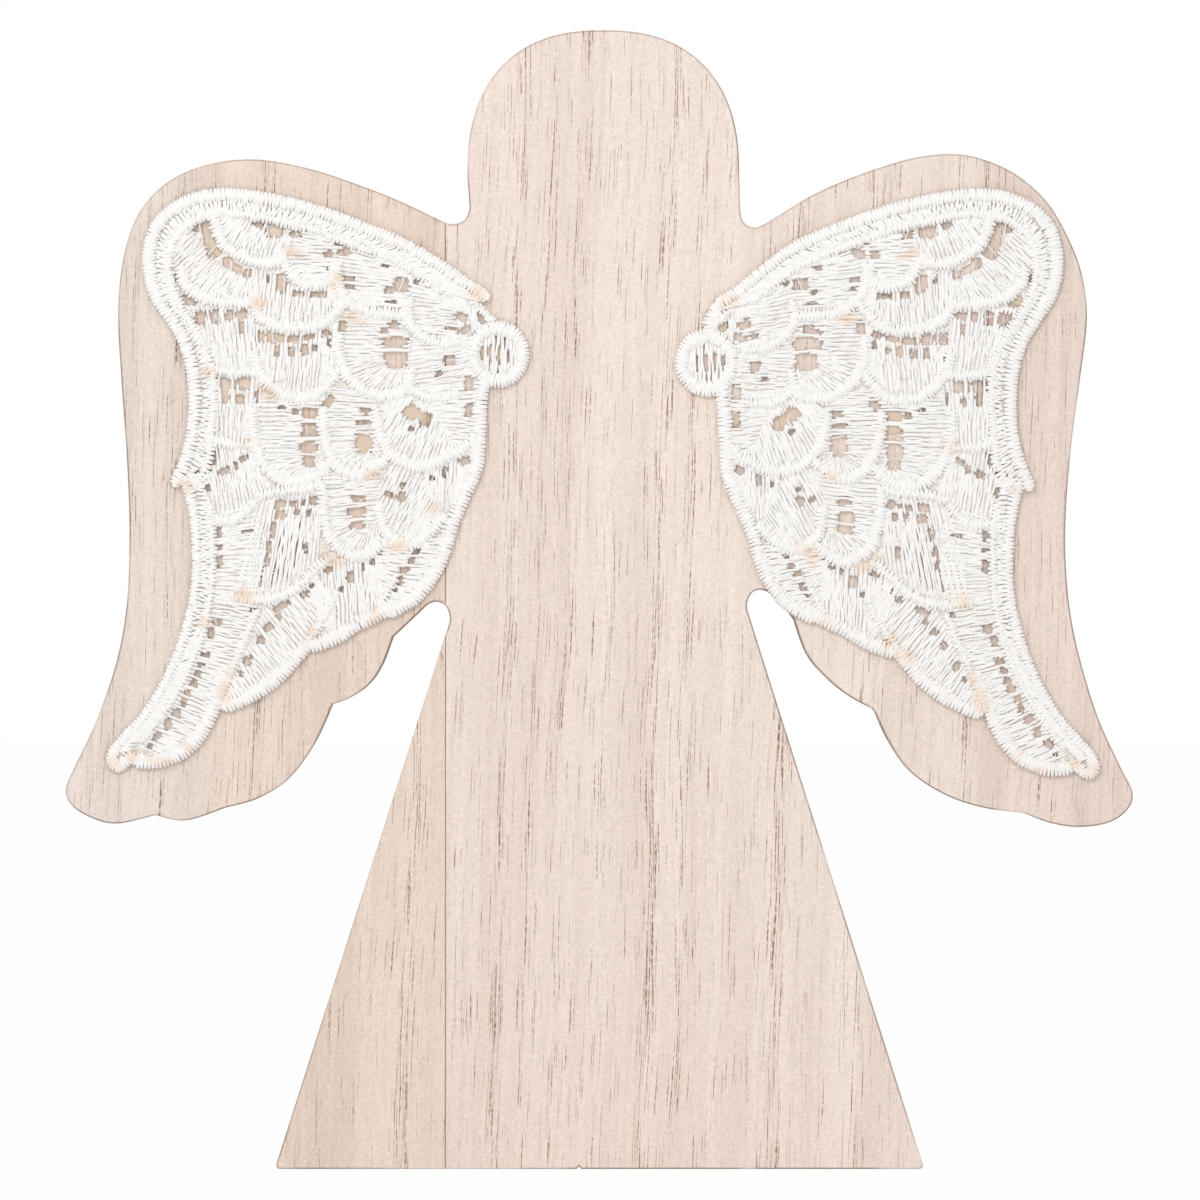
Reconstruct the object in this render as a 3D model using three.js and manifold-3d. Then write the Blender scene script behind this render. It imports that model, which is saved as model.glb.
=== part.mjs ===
// Wooden angel ornament: a flat angel laser-cut from three-ply board, with a guipure lace
// appliqué glued on each wing. Sizes in millimetres.
// It is drawn as seen from the front: x to the right, y up from the hem, z out of the face.
// The last group stands it up, so that +Z is up and the face looks towards -Y.

import * as THREE from 'three';
import { mergeVertices } from 'three/addons/utils/BufferGeometryUtils.js';
import Module from 'manifold-3d';

const wasm = await Module();
wasm.setup();

// Board: a core between two veneers, the front one jointed from three leaves
const FACE_PLY = 0.8;
const CORE_PLY = 3.4;
const SEAM_X = -20.3;        // line of the joint in the front veneer
const SEAM_GAP = 0.1;        // hairline left open between two leaves

// Head: a squarish dome on a short straight neck
const NECK_V = 126.6;        // height of the neck's foot above the hem
const NECK_LENGTH = 4.4;
const DOME_RISE = 19;
const DOME_WIDTH = 35.8;
const DOME_SQUARENESS = 2.4; // exponent of the dome's superellipse, 2 would be an ellipse
const DOME_STEPS = 28;
const HEAD_X = 0.5;          // the head stands a little right of the centre line

// Skirt: straight sides down to a flat hem
const HEM_WIDTH = 85.6;
const HEM_CORNER = 0.8;      // corner rounding
const NICK_X = -2.7;         // small nick in the hem, where the laser started
const NICK_WIDTH = 0.65;
const NICK_DEPTH = 0.35;

// Lace: a flat net with satin cords on it, held off the board by dabs of glue
const GLUE = 0.2;
const NET = 0.35;
const CORD_RISE = 0.75;
const CORD_TOP = 0.5;        // share of a cord's width that its flat top takes
const CORD_GAP = 0.3;        // gap between cords of different pieces
const RING_OUTER = 4;
const RING_INNER = 2.1;
const RING_SIDES = 16;
const DAB_SIDES = 12;
const DAB_TOP = 0.85;        // radius of a dab under the lace as a share of its radius on the board

// Largest turn between two facets of the board's edge, and of a cord, in radians
const EDGE_TURN = 0.2;
const CORD_TURN = 0.7;
const CORNER_STEPS = 3;      // facets round a corner of the hem

// Wing outlines: u is the distance out from the centre line, v the height above the hem.
// Each stretch is a smooth curve, and two stretches meet in a cusp between two feathers.
const LEFT_WING = {
  outer: [[17.1, NECK_V], [17.6, 125.2], [18.9, 124.5], [20.6, 124.8], [25, 126.9], [30, 129], [38, 131.7],
    [45.5, 133], [52, 132.2], [57, 129.9], [60.6, 126], [62.6, 120.5], [63.4, 113], [62.9, 103], [62.2, 93],
    [61.9, 83], [62.3, 74], [63.7, 66.5], [66.3, 59], [69.2, 52.8], [70.3, 50], [69.5, 47.9], [66.8, 46.2],
    [63.5, 45.5], [58.5, 46.6]],
  feathers: [
    [[54.5, 45.9], [49.2, 47.6]],
    [[45, 48.8], [41, 51.4], [37.6, 56], [35.2, 61.2]],
    [[33, 62], [30.4, 63.8], [28.6, 66.4], [27.2, 70.1]],
  ],
  underarm: [[24, 73.1], [22.6, 74.4], [21.3, 74.7], [20.2, 74.1], [19.7, 72.6], [20, 71.2]],
};
const RIGHT_WING = {
  outer: [[18.5, NECK_V], [18.8, 125], [19.9, 124.1], [21.6, 124.4], [27.5, 128], [32.5, 130.3],
    [37.5, 132.1], [42, 133.3], [46.5, 133.7], [50.5, 133], [55, 130.9], [59, 127.3], [61.9, 122.3],
    [63.6, 117.5], [64.2, 112], [63.4, 105], [62.2, 96], [61.5, 88], [61.35, 81], [61.9, 74],
    [63.2, 67.5], [65.6, 59.6], [68.6, 53], [70.2, 49.6], [69.5, 47.3], [67, 45.6], [63, 45.05],
    [59.3, 45.6], [55.8, 46.9]],
  feathers: [
    [[50.5, 47.6], [45.5, 49.3], [41, 52.3], [38, 56.5], [36.2, 60.5]],
    [[33, 62.2], [30, 64.6], [27.3, 67.8], [25.6, 72.4]],
  ],
  underarm: [[24, 74.4], [22.4, 75.9], [21.1, 76.3], [20, 75.8], [19.4, 74.3], [19.8, 72.6]],
};
// Line down the open space between the left wing and the skirt
const LEFT_SPACE = [[20, 73.2], [30, 58], [66, 20]];

// Satin cords of one lace wing, in the same u and v: points of the middle line, and the width.
// The border runs from the root over the wing's top and down its outer side to the tip.
const BORDER_TOP = { width: 2.1, line: [[15.2, 114.7], [20.6, 118.5], [25.5, 121.4], [30.4, 123.5],
  [35.4, 125.4], [40.2, 126.8], [45.1, 127.8], [49.8, 128.2], [53.6, 127.5], [56.5, 125.9],
  [58.3, 123.8], [59.1, 121.2], [59.1, 118], [58.2, 115], [56.2, 112], [54.4, 108.8], [53.4, 105],
  [53.1, 101], [53.5, 96.4], [54.5, 92.8], [55.8, 90.2]] };
const BORDER_TAIL = { width: 2.4, line: [[53.8, 92.4], [52.9, 87], [52.5, 81], [52.8, 75.5], [54.2, 69.8],
  [55.9, 65.6], [57.7, 62], [59.8, 59], [62.2, 56.4], [63.9, 54.2], [64.3, 52.4]] };
const INNER_BORDER = [
  { width: 1.8, line: [[19.2, 115], [22, 116.8], [26.6, 119.4], [31.3, 121.4], [36.2, 123.2], [40.8, 124.6],
    [45.4, 125.5], [49.6, 125.9], [52.7, 125.2], [54.9, 123.8], [56.2, 122], [56.7, 119.8], [56.7, 117.5],
    [56, 115.1], [54.5, 112.3], [52.5, 109.4], [51.1, 105.6], [50.8, 101], [51.2, 96.6], [51.6, 93]] },
  { width: 1.5, line: [[51.4, 76], [52.1, 71.4], [53.4, 67.8], [55, 64.4], [56.7, 61.3], [58.6, 58.6],
    [60.9, 55.6]] },
];
// Long feathers of the scalloped lower edge, then those between them
const EDGE_TAIL = { width: 2.4, line: [[47.3, 70], [49, 66.3], [50.4, 62.8], [51.6, 59.5], [53.2, 56.8],
  [55.2, 55], [57.8, 54], [61, 54.6]] };
const EDGE_MIDDLE = { width: 2.6, line: [[36.8, 73], [38.2, 70.2], [40.2, 67.6], [42.6, 65], [45.4, 63],
  [49.8, 61]] };
const EDGE_INNER = { width: 2.4, line: [[27, 75], [29.3, 73.2], [32, 72], [34.9, 70.2], [38.6, 68.9]] };
const EDGE_BODY = { width: 2.2, line: [[16, 101.8], [16, 97], [16.4, 92.5], [18.1, 88.4], [19.6, 85],
  [20.5, 81.8], [21.9, 78.6], [24.5, 75.3], [28.2, 73.2]] };
const TAIL_FEATHERS = [
  EDGE_TAIL, EDGE_MIDDLE, EDGE_INNER, EDGE_BODY,
  { width: 2, line: [[48.6, 85.2], [48.5, 78], [49, 72.8], [50.4, 68.8], [52, 65], [53.8, 61.3], [55.9, 57.8],
    [58.6, 54.8]] },
  { width: 2, line: [[40.2, 73.4], [42.2, 70.4], [44.6, 66.9], [46.4, 64], [48.6, 61.7]] },
  { width: 2, line: [[29, 79.4], [31.8, 76.9], [34.5, 75], [37.2, 72.6]] },
  { width: 1.6, line: [[22.7, 83.4], [23.3, 80.4], [24.6, 77.8], [26.6, 74.8]] },
];
// Short feathers of the upper wing: bowed cords, each hung on its neighbours
const SHORT_FEATHERS = [
  { width: 1.7, line: [[50.9, 125.8], [49.5, 122], [47, 120.2], [44, 119.2], [41.4, 120]] },
  { width: 1.8, line: [[55.2, 118.8], [54.5, 116.5], [52.4, 114.9], [49.4, 114.2], [45.4, 114]] },
  { width: 1.7, line: [[41.7, 120.2], [40.2, 117.4], [37.6, 116.3], [35.2, 117.2], [34.2, 119.4]] },
  { width: 1.7, line: [[45.7, 114.4], [44.5, 112], [42, 111], [39, 110.8], [36.2, 111.4], [33.6, 114.2]] },
  { width: 1.7, line: [[45.5, 107.8], [44.7, 104.6], [42.4, 102.4], [39.4, 101.5], [36.8, 102.2],
    [34.2, 105.4]] },
  { width: 1.5, line: [[51.4, 105.8], [48.6, 104.9], [44.8, 105]] },
  { width: 1.6, line: [[51.6, 96.2], [48.8, 95.5], [45.2, 95.4]] },
  { width: 1.5, line: [[50.9, 85.7], [48.2, 85.3], [45.2, 88]] },
  { width: 1.8, line: [[45.8, 100.2], [45.3, 95.4], [43.5, 91.9], [40.4, 90.4], [37.6, 91], [35.4, 93.2]] },
  { width: 1.8, line: [[36.4, 100.2], [36, 95.6], [34.2, 92.4], [31.4, 91.3], [27.7, 94]] },
  { width: 1.8, line: [[29.4, 100.4], [28.6, 95.8], [26, 93.1], [22.6, 92.6], [19, 94], [16.3, 95.8]] },
  { width: 1.7, line: [[35.2, 119.4], [34.3, 116], [32.4, 113.7], [29.4, 112.7], [25.2, 112.6]] },
  { width: 1.6, line: [[24.8, 114.8], [25.3, 112], [23.8, 110], [21.2, 109.2], [18.7, 109.6]] },
  { width: 1.8, line: [[34.4, 110], [34, 106], [31.8, 103], [28.6, 101.8], [25.6, 102.4], [22.8, 104.8]] },
  { width: 1.5, line: [[23, 107.6], [22.4, 105.2], [20.6, 103.6], [18.6, 103.4]] },
  { width: 1.8, line: [[36.4, 90.2], [36, 84.6], [34.2, 81.7], [31.4, 80.6], [28, 82.8]] },
  { width: 1.7, line: [[29, 87.6], [28.3, 84.2], [26.1, 82.3], [23.4, 82.9], [20.2, 86.2]] },
  { width: 1.4, line: [[45.4, 88.6], [42, 89.3], [38.6, 89.6], [36.2, 90.4]] },
];
// Rows of gaps in the net: first and last gap, how many, and each gap's length along and across the row
const GAP_ROWS = [
  { ends: [[52.2, 124], [50.8, 121.4]], count: 2, along: 2, across: 1.2 },
  { ends: [[49.4, 119.4], [46.4, 117.8]], count: 3, along: 1.1, across: 0.8 },
  { ends: [[53.2, 112.2], [47, 112.5]], count: 4, along: 1.2, across: 1.3 },
  { ends: [[45, 124], [40.2, 122.9]], count: 3, along: 1.4, across: 1 },
  { ends: [[42.1, 117.4], [41.7, 116.2]], count: 1, along: 1.9, across: 1.3 },
  { ends: [[35.7, 120.6], [33.4, 120.6]], count: 2, along: 1.2, across: 0.8 },
  { ends: [[44.4, 109.4], [36.4, 109.6]], count: 5, along: 1.2, across: 0.9 },
  { ends: [[26.4, 116.4], [24, 116.6]], count: 2, along: 1.4, across: 1.6 },
  { ends: [[27, 109.2], [27, 106.6]], count: 2, along: 1.6, across: 2.6 },
  { ends: [[18.2, 112.2], [15.4, 111.9]], count: 2, along: 1.3, across: 1 },
  { ends: [[20, 106.8], [18.8, 105.4]], count: 1, along: 1.4, across: 1 },
  { ends: [[48.9, 103.2], [46.9, 103.2]], count: 2, along: 1.2, across: 1.2 },
  { ends: [[40.8, 99.6], [36.8, 99.7]], count: 3, along: 1.2, across: 1.1 },
  { ends: [[38.3, 97.2], [38.3, 93.4]], count: 3, along: 1.3, across: 1.8 },
  { ends: [[31, 99], [31, 95.8]], count: 2, along: 1.7, across: 1.9 },
  { ends: [[24.8, 99.8], [22.8, 98.8]], count: 2, along: 1.6, across: 1.6 },
  { ends: [[49.6, 93.4], [47.4, 93.2]], count: 2, along: 1.1, across: 1.3 },
  { ends: [[31.9, 88.5], [31.9, 84.9]], count: 3, along: 1, across: 1.7 },
  { ends: [[41.9, 87.6], [38.2, 87.8]], count: 3, along: 1, across: 0.7 },
  { ends: [[50.4, 83.4], [50.3, 79.6]], count: 2, along: 1.2, across: 0.8 },
  { ends: [[50.4, 73.4], [53.4, 65]], count: 5, along: 1, across: 0.7 },
  { ends: [[54.3, 63], [58.8, 56.6]], count: 5, along: 1, across: 0.7 },
  { ends: [[42, 73.9], [46.9, 65.9]], count: 5, along: 1.1, across: 0.8 },
  { ends: [[30.2, 79.8], [38.6, 75.8]], count: 4, along: 1, across: 0.7 },
  { ends: [[24.5, 80.9], [26.7, 77.2]], count: 3, along: 1, across: 0.7 },
];
const RING_CENTRE = [13.2, 107.2];

// The two sides: the right lace is a mirror image of the left one, glued on a little further out
// and lower, and stretched a little from its root. Each dab of glue has its u, v and radius.
const LEFT = {
  name: 'left',
  sign: -1,
  shift: [0, 0],
  stretch: 1,
  dabs: [[14.3, 107.6, 1.8], [24.4, 100, 2], [31.3, 95.6, 1.9], [43, 109.4, 2.2], [49.6, 121.6, 1.8],
    [54, 62.5, 1.5]],
};
const RIGHT = {
  name: 'right',
  sign: 1,
  shift: [0.3, -0.3],
  stretch: 1.012,
  dabs: [[15, 111.5, 1.7], [16.8, 99.4, 1.6], [24.9, 99.4, 2], [38, 99.1, 2.1], [38.6, 107.5, 1.9],
    [54.5, 115.7, 2], [54, 62.7, 1.5]],
};

const WOOD_FACE = { color: 0xead8cb, roughness: 0.75, metalness: 0 };
const WOOD_CORE = { color: 0xc9a988, roughness: 0.85, metalness: 0 };
const COTTON = { color: 0xfaf7f3, roughness: 0.8, metalness: 0 };
const DRY_GLUE = { color: 0xd8cdb4, roughness: 0.35, metalness: 0 };

// Levels from the middle of the board outwards
const CORE_FACE = CORE_PLY / 2;
const BOARD_FACE = CORE_FACE + FACE_PLY;
const NET_BACK = BOARD_FACE + GLUE;
const NET_FACE = NET_BACK + NET;
const CORD_FACE = NET_FACE + CORD_RISE;

function solidOf(geometry) {
  const bare = geometry.clone();
  bare.deleteAttribute('normal');
  bare.deleteAttribute('uv');
  const merged = mergeVertices(bare, 1e-5);
  const vertProperties = merged.attributes.position.array;
  const triVerts = new Uint32Array(merged.index.array);
  return new wasm.Manifold(new wasm.Mesh({ numProp: 3, vertProperties, triVerts }));
}

function geometryOf(solid) {
  const { vertProperties, triVerts } = solid.getMesh();
  const geometry = new THREE.BufferGeometry();
  geometry.setAttribute('position', new THREE.BufferAttribute(vertProperties, 3));
  geometry.setIndex(new THREE.BufferAttribute(triVerts, 1));
  return geometry;
}

function joined(solids) {
  return solids.reduce((whole, next) => whole.add(next));
}

// Flat plate of the given outline between two levels
function plate(outline, back, front) {
  const shape = new THREE.Shape(outline);
  const geometry = new THREE.ExtrudeGeometry(shape, { depth: front - back, bevelEnabled: false });
  return geometry.translate(0, 0, back);
}

function mesh(name, geometry, look) {
  const piece = new THREE.Mesh(geometry, new THREE.MeshStandardMaterial(look));
  piece.name = name;
  return piece;
}

// Places along a curve, from 0 to 1, that lie close together where it bends
function placesAlong(curve, turn) {
  const spans = curve.points.length - 1;
  const places = [0];
  for (let span = 0; span < spans; span += 1) {
    const bend = curve.getTangent(span / spans).angleTo(curve.getTangent((span + 1) / spans));
    const steps = Math.max(1, Math.ceil(bend / turn));
    for (let step = 1; step <= steps; step += 1) {
      places.push((span + step / steps) / spans);
    }
  }
  return places;
}

// Edge of one wing, from the neck over the shoulder, the tip and the feathers to the waist
function wingEdge(wing, sign) {
  const edge = [];
  let cusp = [];
  [wing.outer, ...wing.feathers, wing.underarm].forEach((stretch) => {
    const points = [...cusp, ...stretch].map(([u, v]) => new THREE.Vector2(sign * u, v));
    const curve = new THREE.SplineCurve(points);
    const places = placesAlong(curve, EDGE_TURN).slice(cusp.length);
    edge.push(...places.map((place) => curve.getPoint(place)));
    cusp = [stretch.at(-1)];
  });
  return edge;
}

// Dome of the head, from right to left
function domeEdge() {
  const edge = [];
  for (let step = 0; step <= DOME_STEPS; step += 1) {
    const turn = Math.PI * step / DOME_STEPS;
    const across = Math.sign(Math.cos(turn)) * Math.abs(Math.cos(turn)) ** (2 / DOME_SQUARENESS);
    const up = Math.abs(Math.sin(turn)) ** (2 / DOME_SQUARENESS);
    edge.push(new THREE.Vector2(HEAD_X + across * DOME_WIDTH / 2, NECK_V + NECK_LENGTH + up * DOME_RISE));
  }
  return edge;
}

// Hem from left to right, with rounded corners and the nick
function hemEdge() {
  const end = HEM_WIDTH / 2;
  const corner = new THREE.QuadraticBezierCurve(
    new THREE.Vector2(end - HEM_CORNER, 0),
    new THREE.Vector2(end, 0),
    new THREE.Vector2(end - HEM_CORNER / 3, HEM_CORNER),
  ).getPoints(CORNER_STEPS);
  const mirrored = corner.map(({ x, y }) => new THREE.Vector2(-x, y)).reverse();
  const nick = [[-NICK_WIDTH / 2, 0], [0, NICK_DEPTH], [NICK_WIDTH / 2, 0]];
  return [...mirrored, ...nick.map(([x, y]) => new THREE.Vector2(NICK_X + x, y)), ...corner];
}

// Board: back veneer, core and the three leaves of the front veneer
function makeBoard() {
  const rightEdge = wingEdge(RIGHT_WING, 1).reverse();
  const outline = [...hemEdge(), ...rightEdge, ...domeEdge(), ...wingEdge(LEFT_WING, -1)];
  const far = 2 * HEM_WIDTH;
  const top = far + NECK_V;
  const space = LEFT_SPACE.map(([u, v]) => new THREE.Vector2(-u, v));
  const corner = (x, y) => new THREE.Vector2(x, y);
  const cutter = (points) => solidOf(plate(points, 0, 2 * BOARD_FACE));
  const front = solidOf(plate(outline, CORE_FACE, BOARD_FACE));
  const slab = (from, to) => {
    return cutter([corner(from, -far), corner(to, -far), corner(to, top), corner(from, top)]);
  };
  const below = cutter([...space, corner(-far, -far), corner(far, -far), corner(far, space[0].y)]);
  const leftLeaves = front.intersect(slab(-far, SEAM_X - SEAM_GAP / 2));
  const body = front.intersect(slab(SEAM_X + SEAM_GAP / 2, far));
  return [
    mesh('back_veneer', plate(outline, -BOARD_FACE, -CORE_FACE), WOOD_FACE),
    mesh('core_ply', plate(outline, -CORE_FACE, CORE_FACE), WOOD_CORE),
    mesh('front_veneer_body_leaf', geometryOf(body), WOOD_FACE),
    mesh('front_veneer_left_wing_leaf', geometryOf(leftLeaves.subtract(below)), WOOD_FACE),
    mesh('front_veneer_left_skirt_leaf', geometryOf(leftLeaves.intersect(below)), WOOD_FACE),
  ];
}

// Place of a point of the lace on the given side
function onSide(side, [u, v]) {
  const out = RING_CENTRE[0] + side.shift[0] + (u - RING_CENTRE[0]) * side.stretch;
  const up = RING_CENTRE[1] + side.shift[1] + (v - RING_CENTRE[1]) * side.stretch;
  return new THREE.Vector2(side.sign * out, up);
}

// Sweeps a section along a cord's middle line; a section's points are offsets [across, level]
function sweep(side, line, section) {
  const curve = new THREE.SplineCurve(line.map((point) => onSide(side, point)));
  const places = placesAlong(curve, CORD_TURN);
  const steps = places.length - 1;
  const count = section.length;
  const positions = [];
  const index = [];
  places.forEach((place) => {
    const middle = curve.getPoint(place);
    const along = curve.getTangent(place);
    section.forEach(([across, level]) => {
      positions.push(middle.x - along.y * across, middle.y + along.x * across, level);
    });
  });
  const corner = (step, place) => step * count + place % count;
  for (let step = 0; step < steps; step += 1) {
    for (let place = 0; place < count; place += 1) {
      index.push(corner(step, place), corner(step + 1, place + 1), corner(step, place + 1));
      index.push(corner(step, place), corner(step + 1, place), corner(step + 1, place + 1));
    }
  }
  for (let place = 1; place < count - 1; place += 1) {
    index.push(corner(0, 0), corner(0, place), corner(0, place + 1));
    index.push(corner(steps, 0), corner(steps, place + 1), corner(steps, place));
  }
  const geometry = new THREE.BufferGeometry();
  geometry.setAttribute('position', new THREE.Float32BufferAttribute(positions, 3));
  geometry.setIndex(index);
  return geometry;
}

// A satin cord: flat underneath, with sloping sides and a flat top
function cord(side, { width, line }) {
  const foot = width / 2;
  const top = foot * CORD_TOP;
  const section = [[-foot, NET_FACE], [-top, CORD_FACE], [top, CORD_FACE], [foot, NET_FACE]];
  return solidOf(sweep(side, line, section));
}

// A square-edged strip along a cord's line
function strip(side, { line }, width, back, front) {
  const half = width / 2;
  return solidOf(sweep(side, line, [[-half, back], [-half, front], [half, front], [half, back]]));
}

// One gap of the net, turned along its row
function gap(side, row, place) {
  const [first, last] = row.ends.map((end) => onSide(side, end));
  const share = row.count > 1 ? place / (row.count - 1) : 0.5;
  const middle = first.clone().lerp(last, share);
  const along = last.clone().sub(first).setLength(row.along / 2);
  const across = new THREE.Vector2(-along.y, along.x).setLength(row.across / 2);
  const corners = [[-1, -1], [1, -1], [1, 1], [-1, 1]];
  const at = ([a, b]) => middle.clone().addScaledVector(along, a).addScaledVector(across, b);
  return solidOf(plate(corners.map(at), NET_BACK - GLUE, NET_FACE + CORD_RISE));
}

function ringAt(side, profile) {
  const points = profile.map(([radius, level]) => new THREE.Vector2(radius, level));
  const centre = onSide(side, RING_CENTRE);
  return new THREE.LatheGeometry(points, RING_SIDES).rotateX(Math.PI / 2).translate(centre.x, centre.y, 0);
}

// Net under the whole lace: the filled outline of the cords, less its gaps
function makeNet(side, cords) {
  const loop = [
    ...BORDER_TOP.line,
    ...BORDER_TAIL.line.slice(1),
    ...EDGE_TAIL.line.slice(2).reverse(),
    ...EDGE_MIDDLE.line.slice(1).reverse(),
    ...EDGE_INNER.line.slice(1, -1).reverse(),
    ...EDGE_BODY.line.slice(0, -1).reverse(),
    RING_CENTRE,
  ];
  const inside = solidOf(plate(loop.map((point) => onSide(side, point)), NET_BACK, NET_FACE));
  const rim = cords.map((each) => strip(side, each, each.width, NET_BACK, NET_FACE));
  const flat = [[0, NET_BACK], [RING_OUTER, NET_BACK], [RING_OUTER, NET_FACE], [0, NET_FACE]];
  const disc = solidOf(ringAt(side, flat));
  const gaps = [];
  GAP_ROWS.forEach((row) => {
    for (let place = 0; place < row.count; place += 1) {
      gaps.push(gap(side, row, place));
    }
  });
  return joined([inside, ...rim, disc]).subtract(joined(gaps));
}

function makeLace(side) {
  const border = [BORDER_TOP, BORDER_TAIL];
  const feathers = [...INNER_BORDER, ...TAIL_FEATHERS, ...SHORT_FEATHERS];
  const net = makeNet(side, [...border, EDGE_TAIL, EDGE_MIDDLE, EDGE_INNER, EDGE_BODY]);
  const roomFor = (each) => strip(side, each, each.width + 2 * CORD_GAP, NET_BACK, CORD_FACE + CORD_RISE);
  const room = border.map(roomFor);
  const borderCords = joined(border.map((each) => cord(side, each)));
  const featherCords = joined(feathers.map((each) => cord(side, each))).subtract(joined(room));
  const wall = (RING_OUTER - RING_INNER) * (1 - CORD_TOP) / 2;
  const ring = ringAt(side, [[RING_INNER, NET_FACE], [RING_OUTER, NET_FACE], [RING_OUTER - wall, CORD_FACE],
    [RING_INNER + wall, CORD_FACE], [RING_INNER, NET_FACE]]);
  return [
    mesh(`${side.name}_lace_net`, geometryOf(net), COTTON),
    mesh(`${side.name}_lace_border_cord`, geometryOf(borderCords), COTTON),
    mesh(`${side.name}_lace_feather_cords`, geometryOf(featherCords), COTTON),
    mesh(`${side.name}_lace_root_ring`, geometryOf(solidOf(ring)), COTTON),
  ];
}

// Dabs of glue squeezed flat between the board and the lace
function makeDabs(side) {
  return side.dabs.map(([u, v, radius], place) => {
    const levels = [[0, BOARD_FACE], [radius, BOARD_FACE], [radius * DAB_TOP, NET_BACK], [0, NET_BACK]];
    const profile = levels.map(([across, level]) => new THREE.Vector2(across, level));
    const middle = onSide(side, [u, v]);
    const dab = new THREE.LatheGeometry(profile, DAB_SIDES).rotateX(Math.PI / 2);
    dab.translate(middle.x, middle.y, 0);
    return mesh(`${side.name}_glue_dab_${place + 1}`, geometryOf(solidOf(dab)), DRY_GLUE);
  });
}

const angel = new THREE.Group();
angel.add(...makeBoard());
[LEFT, RIGHT].forEach((side) => angel.add(...makeLace(side), ...makeDabs(side)));
angel.rotation.x = Math.PI / 2;
const ornament = new THREE.Group();
ornament.add(angel);

export default ornament;
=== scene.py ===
"""Looks of the wooden angel ornament: a pale three-ply board with a guipure lace wing on each side.

Points are in millimetres as seen from the front, (x, height above the hem, level out of the face),
and go into the row frame in metres as (x, -level, height). The lace is drawn once, as (u, v): u is the
distance out from the angel's centre line, v the height above the hem.
"""
import math

import bmesh
import bpy
import numpy as np
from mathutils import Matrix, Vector
from mathutils.geometry import delaunay_2d_cdt


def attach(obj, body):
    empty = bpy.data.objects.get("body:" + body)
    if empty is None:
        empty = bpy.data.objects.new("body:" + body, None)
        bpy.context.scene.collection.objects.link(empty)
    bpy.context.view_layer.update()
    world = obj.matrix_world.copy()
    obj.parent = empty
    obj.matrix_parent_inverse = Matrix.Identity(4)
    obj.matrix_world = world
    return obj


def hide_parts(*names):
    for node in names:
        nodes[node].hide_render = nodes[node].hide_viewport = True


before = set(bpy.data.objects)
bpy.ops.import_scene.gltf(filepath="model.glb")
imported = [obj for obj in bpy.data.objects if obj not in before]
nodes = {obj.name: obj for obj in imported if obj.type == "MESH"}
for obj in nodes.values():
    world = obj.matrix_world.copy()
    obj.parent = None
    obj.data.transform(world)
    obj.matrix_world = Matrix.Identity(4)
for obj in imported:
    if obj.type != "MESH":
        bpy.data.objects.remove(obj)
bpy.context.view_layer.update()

MM = 0.001

# Levels of the board and the lace, from the middle of the board outwards
CORE_FACE = 1.7
BOARD_FACE = 2.5
LACE_BACK = 2.7

# Board outline
NECK_V = 126.6
NECK_LENGTH = 4.4
DOME_RISE = 19
DOME_WIDTH = 35.8
DOME_SQUARENESS = 2.4
HEAD_X = 0.5
HEM_WIDTH = 85.6
HEM_CORNER = 0.8
NICK_X = -2.7
NICK_WIDTH = 0.65
NICK_DEPTH = 0.35
SEAM_X = -20.3
SEAM_GAP = 0.06
ARRIS = 0.1  # worn corner between the face and the cut edge
SCORCH = 0.3  # how far the laser's browning reaches into the face
ARRIS_BURN = 0.75  # how brown the arris is, and the seam
SEAM_BURN = 0.3
CLOSE = 0.28  # outline points closer than this are one
MITRE_LIMIT = 0.6

LEFT_WING = [
    [(17.1, NECK_V), (17.6, 125.2), (18.9, 124.5), (20.6, 124.8), (25, 126.9), (30, 129), (38, 131.7),
     (45.5, 133), (52, 132.2), (57, 129.9), (60.6, 126), (62.6, 120.5), (63.4, 113), (62.9, 103), (62.2, 93),
     (61.9, 83), (62.3, 74), (63.7, 66.5), (66.3, 59), (69.2, 52.8), (70.3, 50), (69.5, 47.9), (66.8, 46.2),
     (63.5, 45.5), (58.5, 46.6)],
    [(54.5, 45.9), (49.2, 47.6)],
    [(45, 48.8), (41, 51.4), (37.6, 56), (35.2, 61.2)],
    [(33, 62), (30.4, 63.8), (28.6, 66.4), (27.2, 70.1)],
    [(24, 73.1), (22.6, 74.4), (21.3, 74.7), (20.2, 74.1), (19.7, 72.6), (20, 71.2)],
]
RIGHT_WING = [
    [(18.5, NECK_V), (18.8, 125), (19.9, 124.1), (21.6, 124.4), (27.5, 128), (32.5, 130.3),
     (37.5, 132.1), (42, 133.3), (46.5, 133.7), (50.5, 133), (55, 130.9), (59, 127.3), (61.9, 122.3),
     (63.6, 117.5), (64.2, 112), (63.4, 105), (62.2, 96), (61.5, 88), (61.35, 81), (61.9, 74),
     (63.2, 67.5), (65.6, 59.6), (68.6, 53), (70.2, 49.6), (69.5, 47.3), (67, 45.6), (63, 45.05),
     (59.3, 45.6), (55.8, 46.9)],
    [(50.5, 47.6), (45.5, 49.3), (41, 52.3), (38, 56.5), (36.2, 60.5)],
    [(33, 62.2), (30, 64.6), (27.3, 67.8), (25.6, 72.4)],
    [(24, 74.4), (22.4, 75.9), (21.1, 76.3), (20, 75.8), (19.4, 74.3), (19.8, 72.6)],
]

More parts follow.
